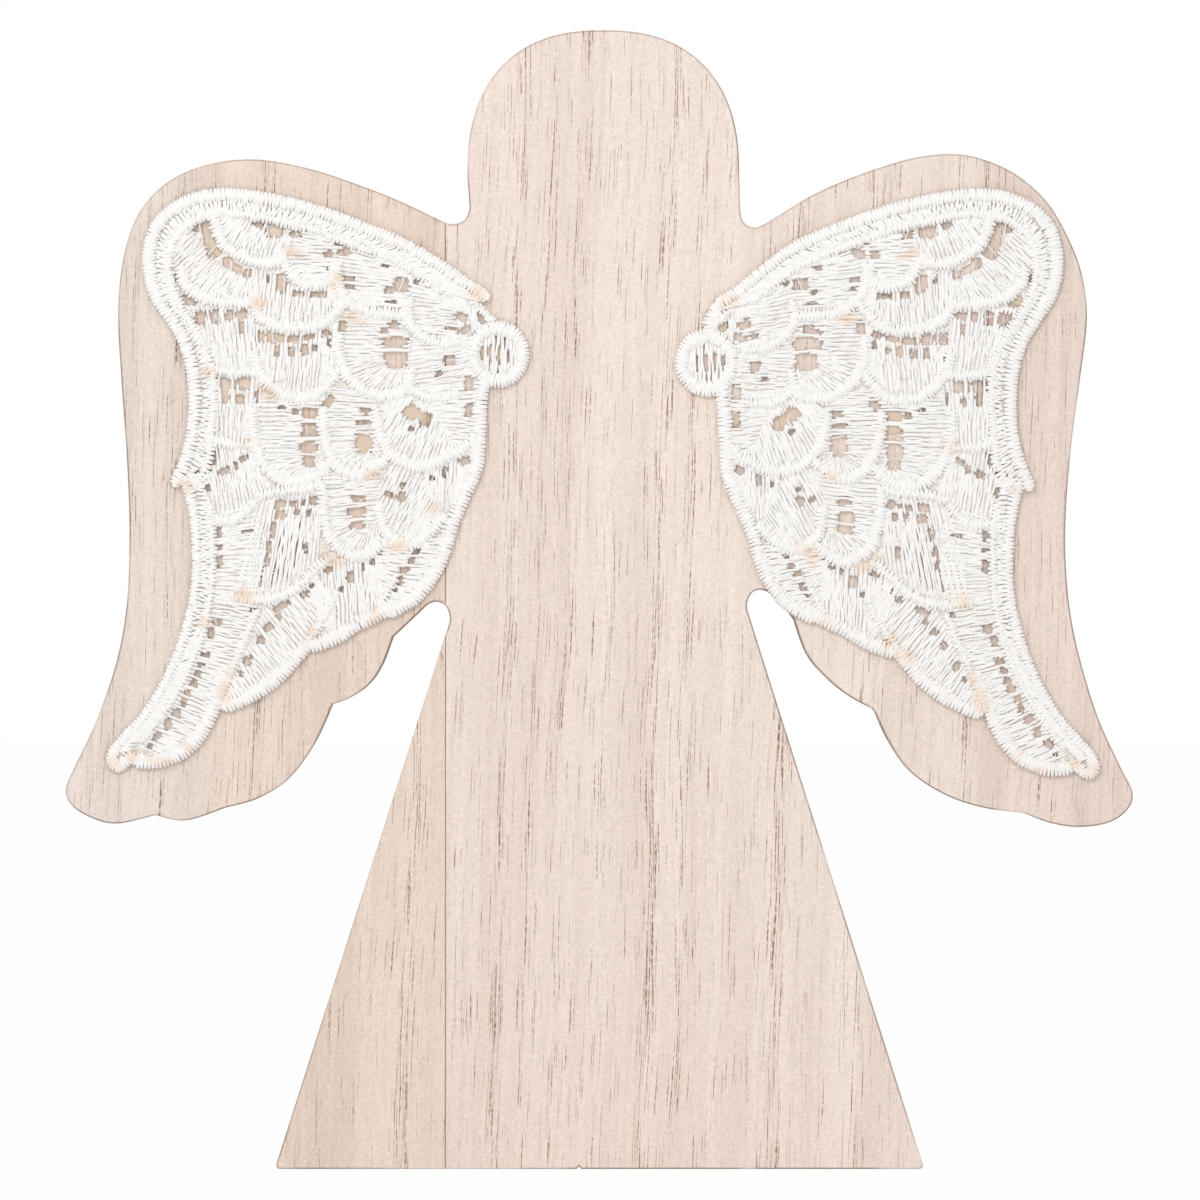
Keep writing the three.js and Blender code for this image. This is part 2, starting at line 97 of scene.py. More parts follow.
# Lace: thread, stitch pitch and the heights of cords and fillings
THREAD = 0.18  # radius of a satin stitch
FINE_THREAD = 0.175  # radius of a filling thread
CORD_PITCH = 0.26
FILL_PITCH = 0.31
OPEN_PITCH = 0.39  # in the wide feather over the tail, open between its threads
CORD_CROWN = 0.44
LOOP_SWING = 0.3  # how far a stitch slants towards its neighbour, as a share of the pitch
BEAD = 0.06  # a free edge's loops reach out this far
SHORT_STITCH = -0.2  # other edges run long and short between these
LONG_STITCH = 0.4
STITCH_BENDS = (0, 0.1, 0.32, 0.68, 0.9, 1)  # where a satin stitch bends, as shares of its length
SATIN_LIFT = 0.05  # satin stitches start this far off the back of the lace
STITCH_LIMITS = (-0.3, 0.45)  # a stitch ends this share of the width past the edge or short of it at most
SATIN_LOOSE = 0.12  # spread of the stitches along a cord and a filling, in pitches
FILL_LOOSE = 0.22
BEAD_SPREAD = 0.04
CROWDED = 0.62  # below this ratio of two rails, every other thread stops short
SHORT_SHARE = (0.3, 0.5)  # and by this share of its length
WAVE_TURN = 1.9  # filling threads wave by so much to the millimetre, and reach so far
WAVE_REACH = (0.02, 0.11)
FRAY = (-0.3, 0.2)  # how unevenly threads end at a window
SATIN_TONE = 0.8  # how white the threads are
FILL_TONE = 0.75
WINDOW_HEM = 0.13  # thread ends stop this far outside a window
GROUND_HEM = 0.28  # the ground stitching stops this far outside a window
GROUND_HEIGHT = 0.2
BRIDGE_THREAD = 0.09  # radius of the single threads that cross a window
FIBRE = 0.065  # radius of the loose fibres
FIBRE_COUNT = 1500  # loose fibres on a wing
FIBRE_STEP = (0.12, 0.34)  # each has five steps of such a length and rises so high
FIBRE_RISE = (0.05, 0.15)
TAIL_TOP = 76  # fillings that reach below this height belong to the tail
RING_CENTRE = (13.2, 107.2)
RING_MIDDLE = (13.4, 107.3)  # middle of the stitched ring
RING_OUTSIDE = (4.2, 4.5)  # its reach sideways and upwards
RING_INSIDE = (2.5, 2.5)

# Edge of the ground stitching, just inside the border
WING_OUTLINE = [
    (15.8, 114.2), (25.5, 121.1), (35.4, 125.1), (45.1, 127.5), (50, 127.9), (55.4, 126), (58.6, 121.6),
    (58.7, 117.6), (56, 112.2), (53.2, 105.4), (52.8, 100.5), (53.4, 95.8), (54.8, 90.4), (53.2, 88),
    (52.7, 81), (53.1, 75.5), (54.8, 69.4), (57.8, 62.6), (62, 57), (63.8, 54.2), (61, 54), (57.8, 54),
    (55.2, 55), (52.8, 57.2), (50.6, 61), (45.4, 63.1), (40.2, 67.7), (38.4, 68.9), (32, 71.9),
    (28.2, 73.3), (24.5, 75.3), (21.7, 78.8), (19.6, 84.9), (16.4, 92.5), (16, 101.4), (16.4, 105),
    (17.4, 107.2), (17, 109.8), (14.8, 111.8),
]

# Satin cords: width and middle line, and where an edge is free, sideways shift and which edge that is
FIRST, SECOND, NEITHER = 0, 1, None
CORDS = [
    (1.9, [(14.6, 114.5), (17.6, 116.4), (20.6, 118.5), (25.5, 121.4), (30.4, 123.5), (35.4, 125.4),
      (40.2, 126.8), (45.1, 127.8), (49.8, 128.2), (53.6, 127.5), (56.5, 125.9), (58.3, 123.8),
      (59.1, 121.2), (59.1, 118), (58.2, 115), (56.2, 112), (54.4, 108.8), (53.4, 105), (53.1, 101),
      (53.5, 96.4), (54.5, 92.8), (55.9, 89.9)], 0.1, FIRST),
    (1.4, [(19.2, 115), (22, 116.8), (26.6, 119.4), (31.3, 121.4), (36.2, 123.2), (40.8, 124.6),
      (45.4, 125.5), (49.6, 125.9), (52.7, 125.2), (54.9, 123.8), (56.2, 122), (56.7, 119.8),
      (56.7, 117.5), (56, 115.1), (54.5, 112.3), (52.5, 109.4), (51.1, 105.6), (50.8, 101), (51.2, 96.6),
      (51.8, 92.6), (53.6, 89.6)]),
    (1.6, [(54.6, 91), (53.4, 87), (52.9, 81), (53.2, 75.5), (54.6, 70), (56.2, 65.8), (58, 62.3),
      (60.1, 59.3), (62.4, 56.8), (63.9, 54.9), (64.2, 53.6), (63.5, 53), (62.4, 53.6), (61.2, 54.8)],
      0, FIRST),
    (1.2, [(51.4, 88), (51.2, 86), (51, 81), (51.2, 76), (52, 71.6), (53.2, 68), (54.7, 64.7),
      (56.4, 61.6), (58.3, 58.9), (60.4, 56.2)]),
    (2, [(49, 66.3), (50.4, 62.8), (51.6, 59.5), (53.2, 56.8), (55.2, 55), (57.8, 54), (60, 53.9),
      (61.4, 54.2)], -0.2, SECOND),
    (1.3, [(45, 73.6), (46, 71.2), (47.2, 68.6), (48.4, 65.8), (49.6, 62.8), (50.2, 61)]),
    (2.1, [(38.6, 69.6), (40.2, 67.6), (42.6, 65), (45.4, 63), (49.8, 61)], -0.25, SECOND),
    (1.2, [(34.6, 76), (35.8, 73.4), (37.2, 71.2), (38.8, 69)]),
    (2, [(27, 75), (29.3, 73.2), (32, 72), (34.9, 70.2), (38.6, 68.9)], -0.2, SECOND),
    (1.2, [(26.8, 78.2), (28, 75.8), (29.2, 73.6)]),
    (1.9, [(15.2, 104.6), (15.8, 101.4), (16, 97), (16.4, 92.5), (18.1, 88.4), (19.6, 85), (20.5, 81.8),
      (21.9, 78.6), (24.5, 75.3), (28.2, 73.2)], -0.15, SECOND),
    (1, [(16.8, 114.4), (15.4, 113), (14.4, 112), (13.8, 111)]),
    (1.5, [(48.8, 75.5), (45.6, 75), (42.4, 75.3), (39.6, 76.8), (37.2, 79.2), (35.2, 80.6)]),
    (1.7, [(50.9, 125.8), (49.5, 122), (47, 120.2), (44, 119.2), (41.4, 120)]),
    (1.8, [(55.2, 118.8), (54.5, 116.5), (52.4, 114.9), (49.4, 114.2), (45.4, 114)]),
    (1.7, [(41.7, 120.2), (40.2, 117.4), (37.6, 116.3), (35.2, 117.2), (34.2, 119.4)]),
    (1.7, [(45.7, 114.4), (44.5, 112), (42, 111), (39, 110.8), (36.2, 111.4), (33.6, 114.2)]),
    (1.7, [(45.5, 107.8), (44.7, 104.6), (42.4, 102.4), (39.4, 101.5), (36.8, 102.2), (34.2, 105.4)]),
    (1.5, [(51.4, 105.8), (48.6, 104.9), (44.8, 105)]),
    (1.6, [(51.6, 96.2), (48.8, 95.5), (45.2, 95.4)]),
    (1.5, [(50.9, 85.7), (48.2, 85.3), (45.2, 88)]),
    (1.8, [(45.8, 100.2), (45.3, 95.4), (43.5, 91.9), (40.4, 90.4), (37.6, 91), (35.4, 93.2)]),
    (1.8, [(36.4, 100.2), (36, 95.6), (34.2, 92.4), (31.4, 91.3), (27.7, 94)]),
    (1.8, [(29.4, 100.4), (28.6, 95.8), (26, 93.1), (22.6, 92.6), (19, 94.4), (16.3, 96.2)]),
    (1.7, [(35.2, 119.4), (34.3, 116), (32.4, 113.7), (29.4, 112.7), (25.2, 112.6)]),
    (1.6, [(24.8, 114.8), (25.3, 112), (23.8, 110), (21.2, 108.8), (18.2, 109)]),
    (1.8, [(34.4, 110), (34, 106), (31.8, 103), (28.6, 101.8), (25.8, 102.4), (24.6, 105.6)]),
    (1.5, [(25.2, 103.4), (23.6, 102), (21, 101.5), (18.2, 102.2)]),
    (1.8, [(36.4, 90.2), (36, 84.6), (34.2, 81.7), (31.4, 80.6), (28, 82.8)]),
    (1.7, [(29, 87.6), (28.3, 84.2), (26.1, 82.3), (23.4, 82.9), (20.2, 86.2)]),
    (1.4, [(45.4, 88.6), (42, 89.3), (38.6, 89.6), (36.2, 90.4)]),
]

# Fillings: crown and the two rails that the threads run between, and a pitch other than the usual one
FILLS = [
    (0.32, [(15.2, 114.2), (25.5, 120.8), (35.4, 124.8), (45.1, 127.2), (50, 127.6), (55, 126.2),
      (58, 122.5), (58.4, 118), (57.4, 115), (55.4, 112), (53.6, 108.8), (52.6, 105), (52.4, 101),
      (53.4, 94), (55, 90.4)],
     [(19.6, 115.2), (28, 120), (37, 123.6), (45.4, 125.6), (49.8, 125.9), (54, 124.5), (56.3, 121.5),
      (56.7, 118), (56, 115.1), (54.5, 112.3), (52.5, 109.4), (51.2, 105.6), (50.9, 101), (51.6, 93),
      (53.4, 90)]),
    (0.32, [(53.8, 92), (52.9, 87), (52.6, 81), (52.9, 75.5), (54.2, 70), (55.9, 65.8), (57.7, 62.2),
      (59.9, 59.2), (62.2, 56.7), (63.4, 55)],
     [(51.5, 92), (51.1, 87), (51.1, 81), (51.3, 75), (52.2, 70.8), (53.6, 67), (55.5, 63.4), (57.6, 60),
      (60, 57), (62, 54.4)]),
    (0.15, [(50.9, 125.8), (49.5, 122), (47, 120.2), (44, 119.2), (41.4, 120)],
     [(49.6, 125.9), (47, 125.4), (44.8, 124.9), (42.4, 124.3), (40.4, 122.8)]),
    (0.15, [(57, 122.5), (56.2, 119.4), (55, 116.8), (52.6, 115), (49.6, 114.3), (45.6, 114.2)],
     [(54.6, 125), (52.8, 122.6), (51.2, 120.4), (49.4, 118.8), (47.4, 117.9), (45.2, 117.4)]),
    (0.15, [(41, 123.6), (41.6, 120.4), (40.6, 118), (38.6, 116.6)],
     [(34.4, 122.8), (33.8, 120.4), (34.6, 118), (36.2, 116.8)]),
    (0.15, [(45.7, 114.4), (44.5, 112), (42, 111), (39, 110.8), (36.2, 111.4), (33.8, 114)],
     [(46.4, 118.2), (44, 118.6), (41.4, 116.8), (38.6, 116), (36.2, 116.6), (34.4, 117)]),
    (0.12, [(45.6, 111.4), (42.5, 110.6), (39.5, 110.4), (36.5, 110.9), (34.2, 112.4)],
     [(45.2, 105.4), (43.2, 102.7), (40.4, 101.5), (37.4, 101.9), (34.6, 104.8)]),
    (0.12, [(54.2, 113.8), (51.2, 113.8), (48.6, 113.6), (45.6, 113.6)],
     [(51.6, 105.8), (49.6, 104.9), (47.4, 104.8), (45, 105)]),
    (0.12, [(51.2, 105), (48.6, 104.6), (46, 104.6), (44.4, 104.2)],
     [(51.2, 96), (48.8, 95.4), (46.6, 95.3), (45.4, 95.4)]),
    (0.12, [(52.4, 95.4), (49.4, 95.3), (47, 95.2), (45.4, 94.6)],
     [(50.8, 85.8), (47.8, 85.4), (45.2, 87.4), (43.8, 89.2)]),
    (0.12, [(51, 86), (50.8, 80), (51, 75)], [(44.6, 88), (44, 80), (45.6, 75)]),
    (0.15, [(46, 101.8), (45.5, 97), (44.8, 94)], [(36, 101.6), (36, 97.2), (36, 94)]),
    (0.15, [(44.8, 94), (43.3, 91.7), (40.4, 90.4), (37.6, 91), (36, 92.6)],
     [(39.4, 94.2), (39, 93.2), (38.4, 92.6), (37.8, 93), (37.2, 94)]),
    (0.15, [(36.6, 103), (36.3, 98), (35.6, 94.6)], [(29, 102.4), (29.2, 98), (28.7, 94.6)]),
    (0.15, [(35.6, 94.6), (34.2, 92.4), (31.4, 91.3), (28.6, 93.2)],
     [(32.6, 95), (31.8, 94.3), (31, 94.2), (30, 94.8)]),
    (0.15, [(29.4, 99.6), (28.6, 96), (26, 93.2), (22.6, 92.7), (19.6, 93.8)],
     [(27, 102.4), (24.6, 102), (22.4, 101), (20.6, 98.6), (19, 95.8)]),
    (0.15, [(35, 121.6), (34.6, 118.4), (33.8, 115.6), (32.2, 113.8)],
     [(25.4, 119), (24.4, 117.2), (24.6, 115), (25, 113.4)]),
    (0.12, [(25.4, 119), (25.2, 114), (25, 111.8), (23.8, 110.4)],
     [(18, 115.4), (16.8, 113.4), (16.6, 111.4), (17.4, 109.6)]),
    (0.15, [(34.4, 113), (34.4, 109), (34, 106.4)], [(25, 113), (24.8, 108.8), (24.4, 106)]),
    (0.15, [(34, 106.4), (32.6, 103.8), (30.4, 102.3), (27.8, 101.8), (25.2, 103)],
     [(28.8, 107.4), (28.2, 106), (27.4, 105.4), (26.4, 105.2), (25.6, 105.8)]),
    (0.12, [(25, 110.4), (25, 106), (24.8, 102.4)], [(17.4, 109.8), (17.2, 107.4), (17, 103)]),
    (0.12, [(24.4, 102.6), (22.6, 100), (20.8, 97.6), (19.6, 95.2)],
     [(15.6, 104), (15.6, 100), (15.6, 97.4), (16, 95)]),
    (0.15, [(36.6, 91.6), (36.3, 87.6), (35.9, 84.6)], [(28.4, 92), (28.8, 88.4), (28.4, 85.2)]),
    (0.15, [(35.9, 84.6), (34.6, 82), (32.8, 80.9), (31, 80.6), (28.8, 82.2)],
     [(32.8, 85), (31.9, 84.2), (31.2, 83.8), (30.4, 83.8), (29, 84.8)]),
    (0.15, [(29.2, 89.2), (28.6, 85.2), (26.4, 82.6), (23.8, 82.6)],
     [(27.4, 92.8), (24.8, 92.6), (22.2, 90.4), (20.6, 86)]),
    (0.12, [(23, 93), (20.2, 93.8), (17.6, 95), (16, 95.4)],
     [(23, 89), (20.4, 86.4), (18.2, 88.2), (16.4, 91.6)]),
    (0.12, [(44.8, 88.8), (42, 89.3), (39.6, 89.6), (36.2, 90.2)],
     [(48.2, 75.2), (45, 75.2), (42, 76), (37.2, 79.2)], OPEN_PITCH),
    (0.17, [(50.8, 76), (51.9, 72.2), (53, 69), (54.2, 66.2), (55.8, 63.2), (57.4, 60.6), (59, 58),
      (60.8, 55.6)],
     [(45, 75), (45.2, 71), (46.6, 67.8), (48.2, 64.4), (50, 60.8), (51.4, 58.2), (53.6, 55.8),
      (57.2, 54)]),
    (0.17, [(37.6, 78.6), (40.4, 76), (43.2, 75), (44.8, 73), (46, 70.4), (47.2, 67.8), (48.4, 65),
      (49.8, 61.8)],
     [(34.6, 74.6), (36.4, 71.6), (38.4, 69.2), (40.2, 67.2), (42, 65.4), (44.2, 63.8), (46.8, 62.4),
      (49.4, 61.2)]),
    (0.17, [(38.4, 77.6), (36, 80), (34, 80.6), (32.2, 80.4), (30.4, 81), (28.8, 82)],
     [(36.6, 71.6), (35.2, 70.4), (33.4, 71), (31.8, 71.8), (30.2, 72.8), (28.6, 74)]),
    (0.17, [(28.4, 83), (29.4, 81), (30.6, 79), (30.6, 76.6)],
     [(24.2, 83), (25, 80.4), (26.2, 78), (27.8, 74.6)]),
    (0.1, [(16.4, 108.4), (13.4, 110.4), (10.6, 108.4)], [(16.4, 106.2), (13.4, 104.2), (10.6, 106.2)]),
    (0.12, [(19.4, 116), (17.4, 115), (15.6, 114), (14.4, 112.6)],
     [(18.4, 109.2), (17, 109.8), (16, 110.6), (14.6, 111)]),
    (0.12, [(18.8, 109.4), (18.2, 107), (17.6, 104)], [(16.2, 109.8), (16.6, 107.2), (15.6, 104.4)]),
    (0.17, [(24.8, 83), (25.6, 80.6), (26.4, 78.6), (27.4, 76.4), (28.4, 74.4)],
     [(19.8, 83.4), (20.7, 80.4), (21.8, 78.2), (23.6, 75.8), (26, 74)]),
]

# Openings between the threads: u, v, width, height and, where they lean, tilt in degrees
WINDOWS = [
    (53.1, 124.4, 0.8, 1.6), (51.6, 124.2, 1.1, 2.2), (51.3, 122.6, 1.2, 1.8),
    (50.7, 120.9, 1.3, 1.9, -60), (48.9, 119.4, 0.9, 1), (47.9, 118.6, 1.3, 0.7, -25),
    (46.3, 117.9, 0.9, 0.8), (45, 124.5, 1.3, 0.7, -30), (42.7, 123.7, 2.2, 1.7), (40, 123.1, 1.2, 0.9),
    (56.2, 117.4, 0.5, 0.7), (54, 114.4, 1.6, 0.9, -25), (52.6, 112, 1.5, 1.8), (50.6, 112.2, 1.2, 1.7),
    (48.8, 112.4, 0.7, 1.2), (47, 112.6, 1.6, 0.9, 25), (47.1, 110.8, 0.4, 1.2), (41.8, 116.6, 1.4, 2.1),
    (43.6, 117.2, 0.3, 0.8), (39.7, 115.3, 1.2, 0.5), (37, 115.2, 1.8, 0.5), (35.7, 120.5, 0.9, 0.6),
    (33.6, 120.7, 1.7, 0.8, 25), (34.2, 122, 1.2, 0.35), (35.3, 118.6, 0.8, 0.45), (26, 116.7, 1.8, 2),
    (23.9, 117, 0.5, 1.2, -65), (27.7, 115.7, 0.9, 0.6), (27.4, 114.2, 1.2, 0.35), (28.2, 118.9, 1, 0.3),
    (33, 117.3, 1.2, 0.25), (33, 116.1, 1.2, 0.25), (18.2, 112.2, 1.7, 1, -25), (19.6, 110.7, 0.9, 0.45),
    (17.7, 110.5, 1.7, 0.8, 25), (15.4, 112, 1, 1.3), (33.9, 111, 1, 1.6), (36, 110.1, 1.4, 0.7, 15),
    (27.1, 111, 1.2, 1.1), (28.3, 110.4, 0.8, 0.45), (26.9, 108.9, 3.6, 1.3), (26.8, 106.6, 2.7, 1.8),
    (19.8, 106.6, 1.1, 1.4), (21.1, 104.8, 0.7, 0.7), (17.2, 103.3, 0.8, 2), (17.1, 99.9, 0.9, 1.8),
    (44.6, 109.6, 1, 1.1), (42.6, 109.6, 2, 1.3), (40.2, 109.3, 1.7, 0.7), (38, 109.6, 1.4, 0.45, 15),
    (42.4, 107.7, 0.6, 1.1), (40.6, 107.6, 0.9, 1), (38.8, 107.9, 0.7, 1.1), (37.4, 108.1, 0.4, 0.6),
    (45, 106.7, 0.4, 1.3), (35.5, 108.8, 0.4, 1), (50.4, 103.6, 0.5, 1.3), (49.1, 103.4, 1.3, 1.3),
    (47.9, 103.4, 0.4, 1.1), (46.8, 103.5, 1.3, 1.6), (49.2, 101.7, 0.8, 1.3), (47.3, 101.4, 0.7, 1),
    (45, 101.7, 0.4, 1.2), (51, 93.9, 1.4, 1.8), (52.2, 91.9, 0.8, 1.7, -60), (49.4, 91.9, 0.6, 1.5, -65),
    (47.8, 92.6, 0.6, 0.9), (46.8, 93.6, 0.4, 1.3, -65), (51.5, 89.6, 0.3, 1), (45.7, 87.3, 0.5, 1, -65),
    (38.4, 99.6, 1.4, 1.2), (37, 99.6, 1.2, 1.3), (38, 97.2, 2.2, 1.7), (38.3, 94.9, 1.9, 1.5),
    (38.2, 93.1, 1.4, 1), (40, 99.7, 0.6, 0.7), (41.8, 100.3, 0.7, 0.45), (35.7, 101, 1.5, 0.8, 45),
    (30.3, 99.8, 2.1, 0.7), (31, 98.3, 2, 0.5), (31, 95.7, 1.9, 2.5), (24.8, 99.7, 1.8, 1.9, 45),
    (22.9, 98.7, 1.6, 1.7), (24.8, 97.5, 0.3, 0.8, 55), (17.6, 93.3, 1.6, 1, 20), (20.4, 92.1, 0.6, 0.5),
    (20.4, 91.4, 0.6, 0.4), (22, 91, 0.5, 0.35), (42.1, 87.6, 1.5, 0.7, 15), (40.1, 87.6, 0.9, 0.5),
    (38.9, 87.8, 0.4, 0.35), (37.7, 88, 1.1, 0.8), (42, 86.2, 1.2, 0.8), (39.8, 86.5, 0.6, 0.7),
    (38.3, 86.4, 0.6, 0.65), (31.7, 88.4, 1.5, 0.9), (32, 86.5, 2, 1.2), (31.9, 84.9, 1.7, 0.9, 10),
    (26, 88.5, 0.9, 1), (27.5, 88.7, 0.35, 1.2, 65), (25.8, 90, 0.5, 0.4), (42.9, 84.2, 0.6, 1.6),
    (43.5, 81.9, 0.5, 1.1), (43.8, 80.2, 0.3, 1.1), (38.7, 81.8, 0.45, 1.1), (50.3, 84, 0.9, 1.2),
    (46.3, 84, 1.2, 0.4), (50.1, 82, 0.6, 0.6), (50.1, 80, 0.7, 1.5), (50.3, 71.9, 1, 0.9),
    (51.2, 70.5, 0.7, 1.5), (51.9, 67.7, 1.2, 0.5), (52.4, 66.5, 0.7, 0.45), (52.9, 65.2, 0.7, 0.8),
    (53.4, 64, 0.8, 0.8), (54.3, 62.7, 0.7, 0.7), (54.7, 61.4, 0.5, 0.8), (55.7, 60.1, 0.9, 1.2),
    (56.8, 58.6, 0.6, 1.2), (58.3, 57, 1.2, 0.7, 40), (59.2, 55.6, 0.45, 0.45), (41.8, 74.2, 2.2, 0.6, 30),
    (42.2, 73, 0.4, 0.8), (43.5, 71.4, 0.6, 1.1, -60), (44.6, 69.7, 0.7, 0.7), (46.3, 67, 0.9, 1),
    (47.3, 65.3, 0.4, 0.5), (38.8, 75.7, 0.8, 0.6), (37.9, 76.8, 0.4, 0.4), (45.6, 73.6, 0.7, 0.35, -30),
    (29.3, 81.4, 1.2, 0.45, -20), (30, 80, 0.7, 0.6), (31.2, 79.3, 0.3, 0.6), (32.8, 78, 0.8, 1.2),
    (34, 76.3, 0.6, 0.4), (35.6, 78.9, 0.9, 0.45, 30), (24.2, 81.4, 0.9, 0.5), (24.8, 80.1, 0.7, 0.6),
    (25.7, 79, 1, 0.6), (26.4, 77.5, 0.9, 0.9), (27, 76.3, 0.5, 0.4), (27.7, 74.8, 0.5, 0.45),
    (15.5, 107.4, 0.3, 1.7), (14.4, 107.3, 0.25, 2), (13.3, 107.2, 0.4, 2), (12.1, 107.1, 0.25, 1.5),
]
WINDOWS = [(*window, 0)[:5] for window in WINDOWS]
# Slots in the ground sheet alone, below the threads of the wide feather
SLOTS = [(43.7, 80.6, 0.3, 7.6, -12), (42.2, 80.8, 0.3, 8, -11), (40.8, 81.4, 0.3, 7.4, -9),
         (39.5, 82.2, 0.3, 6, -8)]

# Single threads across the windows, from (u, v) to (u, v)
BRIDGES = [
    [(52.7, 125.2), (52.5, 122.4)], [(43.9, 124.8), (43.5, 122.6)], [(40.2, 123.9), (39.3, 122)],
    [(48.4, 119.6), (48.6, 117.7)], [(46.2, 118.7), (46.4, 117.1)], [(50.1, 122), (51.5, 120.4)],
    [(51.5, 113.4), (51.5, 111)], [(50, 113.4), (50.1, 111)], [(41.4, 118), (41.6, 115.2)],
    [(25.4, 118), (26.5, 115.4)], [(31.8, 97), (29.8, 96.6)], [(43.1, 110.4), (42.9, 108.6)],
]

# Peach spots where the thread has taken up colour: u, v, reach, breadth and tilt in degrees
BOTH_SPOTS = [
    (16.3, 115.2, 1.3, 1, 20), (40.4, 120.8, 1.5, 0.7, 30), (32.4, 112.1, 1.7, 0.8, 20),
    (54.4, 89.9, 1.3, 1, 0), (46, 95.5, 1.2, 0.8, 0), (30, 91.5, 1.3, 0.8, 0), (26.6, 82, 1.7, 0.8, -20),
    (34.8, 80.2, 1.9, 0.9, 20), (46.9, 75.4, 1.4, 1.1, 0), (49.5, 62.4, 1.1, 2, 8),
    (48.4, 65.6, 0.7, 1.2, 10), (37.6, 70.4, 0.7, 1.3, -40), (38.9, 68.7, 0.9, 1.1, 0),
    (29.5, 72.9, 1, 1.2, 0), (64.2, 53.4, 1.4, 1, 0), (61.6, 54.5, 1, 0.8, -40),
    (57.6, 53.6, 2.2, 0.7, 10), (54, 55.4, 1.4, 0.6, 40),
]
LEFT_SPOTS = [
    (35, 116.9, 1.5, 0.9, -50), (44.8, 114, 1.2, 0.9, 0), (43.6, 102.2, 1.7, 0.9, 35),
    (51.5, 105, 1, 0.9, 0), (22, 87, 1.2, 0.9, 30), (52.2, 72, 0.9, 0.8, 0),
]
RIGHT_SPOTS = [(27.5, 81, 1, 1, 0), (40, 68.2, 1.1, 1, 0)]

# On the right wing the link from the ring to the border is broader
RIGHT_LINK = (1.9, [(13.9, 110.8), (13.9, 112.4), (14.4, 113.8), (15.2, 114.8)])

# The wings as they are glued on: shift and stretch about the ring, and how far the root is pushed
SIDES = [
    {"name": "left", "sign": -1, "shift": (0, 0), "stretch": 1, "root": (0, 0), "seed": 11, "cords": [],
     "spots": BOTH_SPOTS + LEFT_SPOTS},
    {"name": "right", "sign": 1, "shift": (0.3, -0.3), "stretch": 1.012, "root": (0.45, -0.8), "seed": 23,
     "cords": [RIGHT_LINK], "spots": BOTH_SPOTS + RIGHT_SPOTS},
]
ROOT_FULL = 17  # up to this far out the root is pushed fully
ROOT_END = 26  # and from here on not at all


def along(points, steps=8):
    """Points along a smooth curve through the given ones."""
    points = np.asarray(points, float)
    behind = np.vstack([points[:1], points[:-1]])
    ahead = np.vstack([points[1:], points[-1:]])
    slope = (ahead - behind) / 2
    t = np.linspace(0, 1, steps, endpoint=False)[:, None]
    stretches = []
    for a, b, slope_a, slope_b in zip(points[:-1], points[1:], slope[:-1], slope[1:]):
        near = (2 * t**3 - 3 * t**2 + 1) * a + (t**3 - 2 * t**2 + t) * slope_a
        far = (3 * t**2 - 2 * t**3) * b + (t**3 - t**2) * slope_b
        stretches.append(near + far)
    return np.vstack([*stretches, points[-1:]])


def shares_along(line):
    """For each point of a line, the share of its length that lies before it."""
    gaps = np.linalg.norm(np.diff(line, axis=0), axis=1)
    reach = np.concatenate([[0], np.cumsum(gaps)])
    return reach / reach[-1]


def spaced(line, places, shares=None):
    """Points of a line at the given shares of its length, or of another line's with as many points."""
    shares = shares_along(line) if shares is None else shares
    return np.column_stack([np.interp(places, shares, line[:, axis]) for axis in range(line.shape[1])])


def length_of(line):
    return float(np.linalg.norm(np.diff(line, axis=0), axis=1).sum())


def unit(vectors):
    return vectors / np.maximum(np.linalg.norm(vectors, axis=1), 1e-9)[:, None]


def signed_power(values, power):
    return np.sign(values) * np.abs(values) ** power


def turned(points, u, v, tilt):
    """Distances of points across and along a mark at (u, v) with a tilt in degrees."""
    turn = math.radians(tilt)
    du = points[:, 0] - u
    dv = points[:, 1] - v
    return du * math.cos(turn) + dv * math.sin(turn), dv * math.cos(turn) - du * math.sin(turn)


def twice_areas(corners):
    """Twice the area of each triangle, from its three corners."""
    one = corners[:, 1] - corners[:, 0]
    other = corners[:, 2] - corners[:, 0]
    return np.abs(one[:, 0] * other[:, 1] - one[:, 1] * other[:, 0])


def skin(rings, sides, start=0):
    """Faces that close a row of rings with so many points each, numbered from the start."""
    low = start + (np.arange(rings - 1) * sides)[:, None]
    here = np.arange(sides)[None, :]
    after = (here + 1) % sides
    quads = np.stack([low + here, low + after, low + sides + after, low + sides + here], axis=-1)
    end = start + (rings - 1) * sides
    caps = [list(range(start, start + sides))[::-1], list(range(end, end + sides))]
    return quads.reshape(-1, 4).tolist() + caps


def standing(points):
    """Front-view points (x, height, level) in millimetres as points of the row frame in metres."""
    points = np.asarray(points, float)
    return np.column_stack([points[:, 0], -points[:, 2], points[:, 1]]) * MM


def new_object(name, data):
    thing = bpy.data.objects.new(name, data)
    bpy.context.scene.collection.objects.link(thing)
    return thing


def new_piece(name, vertices, faces, material):
    mesh = bpy.data.meshes.new(name)
    mesh.from_pydata([tuple(v) for v in vertices], [], faces)
    mesh.materials.append(material)
    mesh.validate()
    shell = bmesh.new()
    shell.from_mesh(mesh)
    bmesh.ops.recalc_face_normals(shell, faces=shell.faces)
    shell.to_mesh(mesh)
    shell.free()
    piece = new_object(name, mesh)
    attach(piece, "root")
    return piece


def mark(piece, name, values):
    layer = piece.data.attributes.new(name, "FLOAT", "POINT")
    layer.data.foreach_set("value", np.asarray(values, np.float32))


# Board


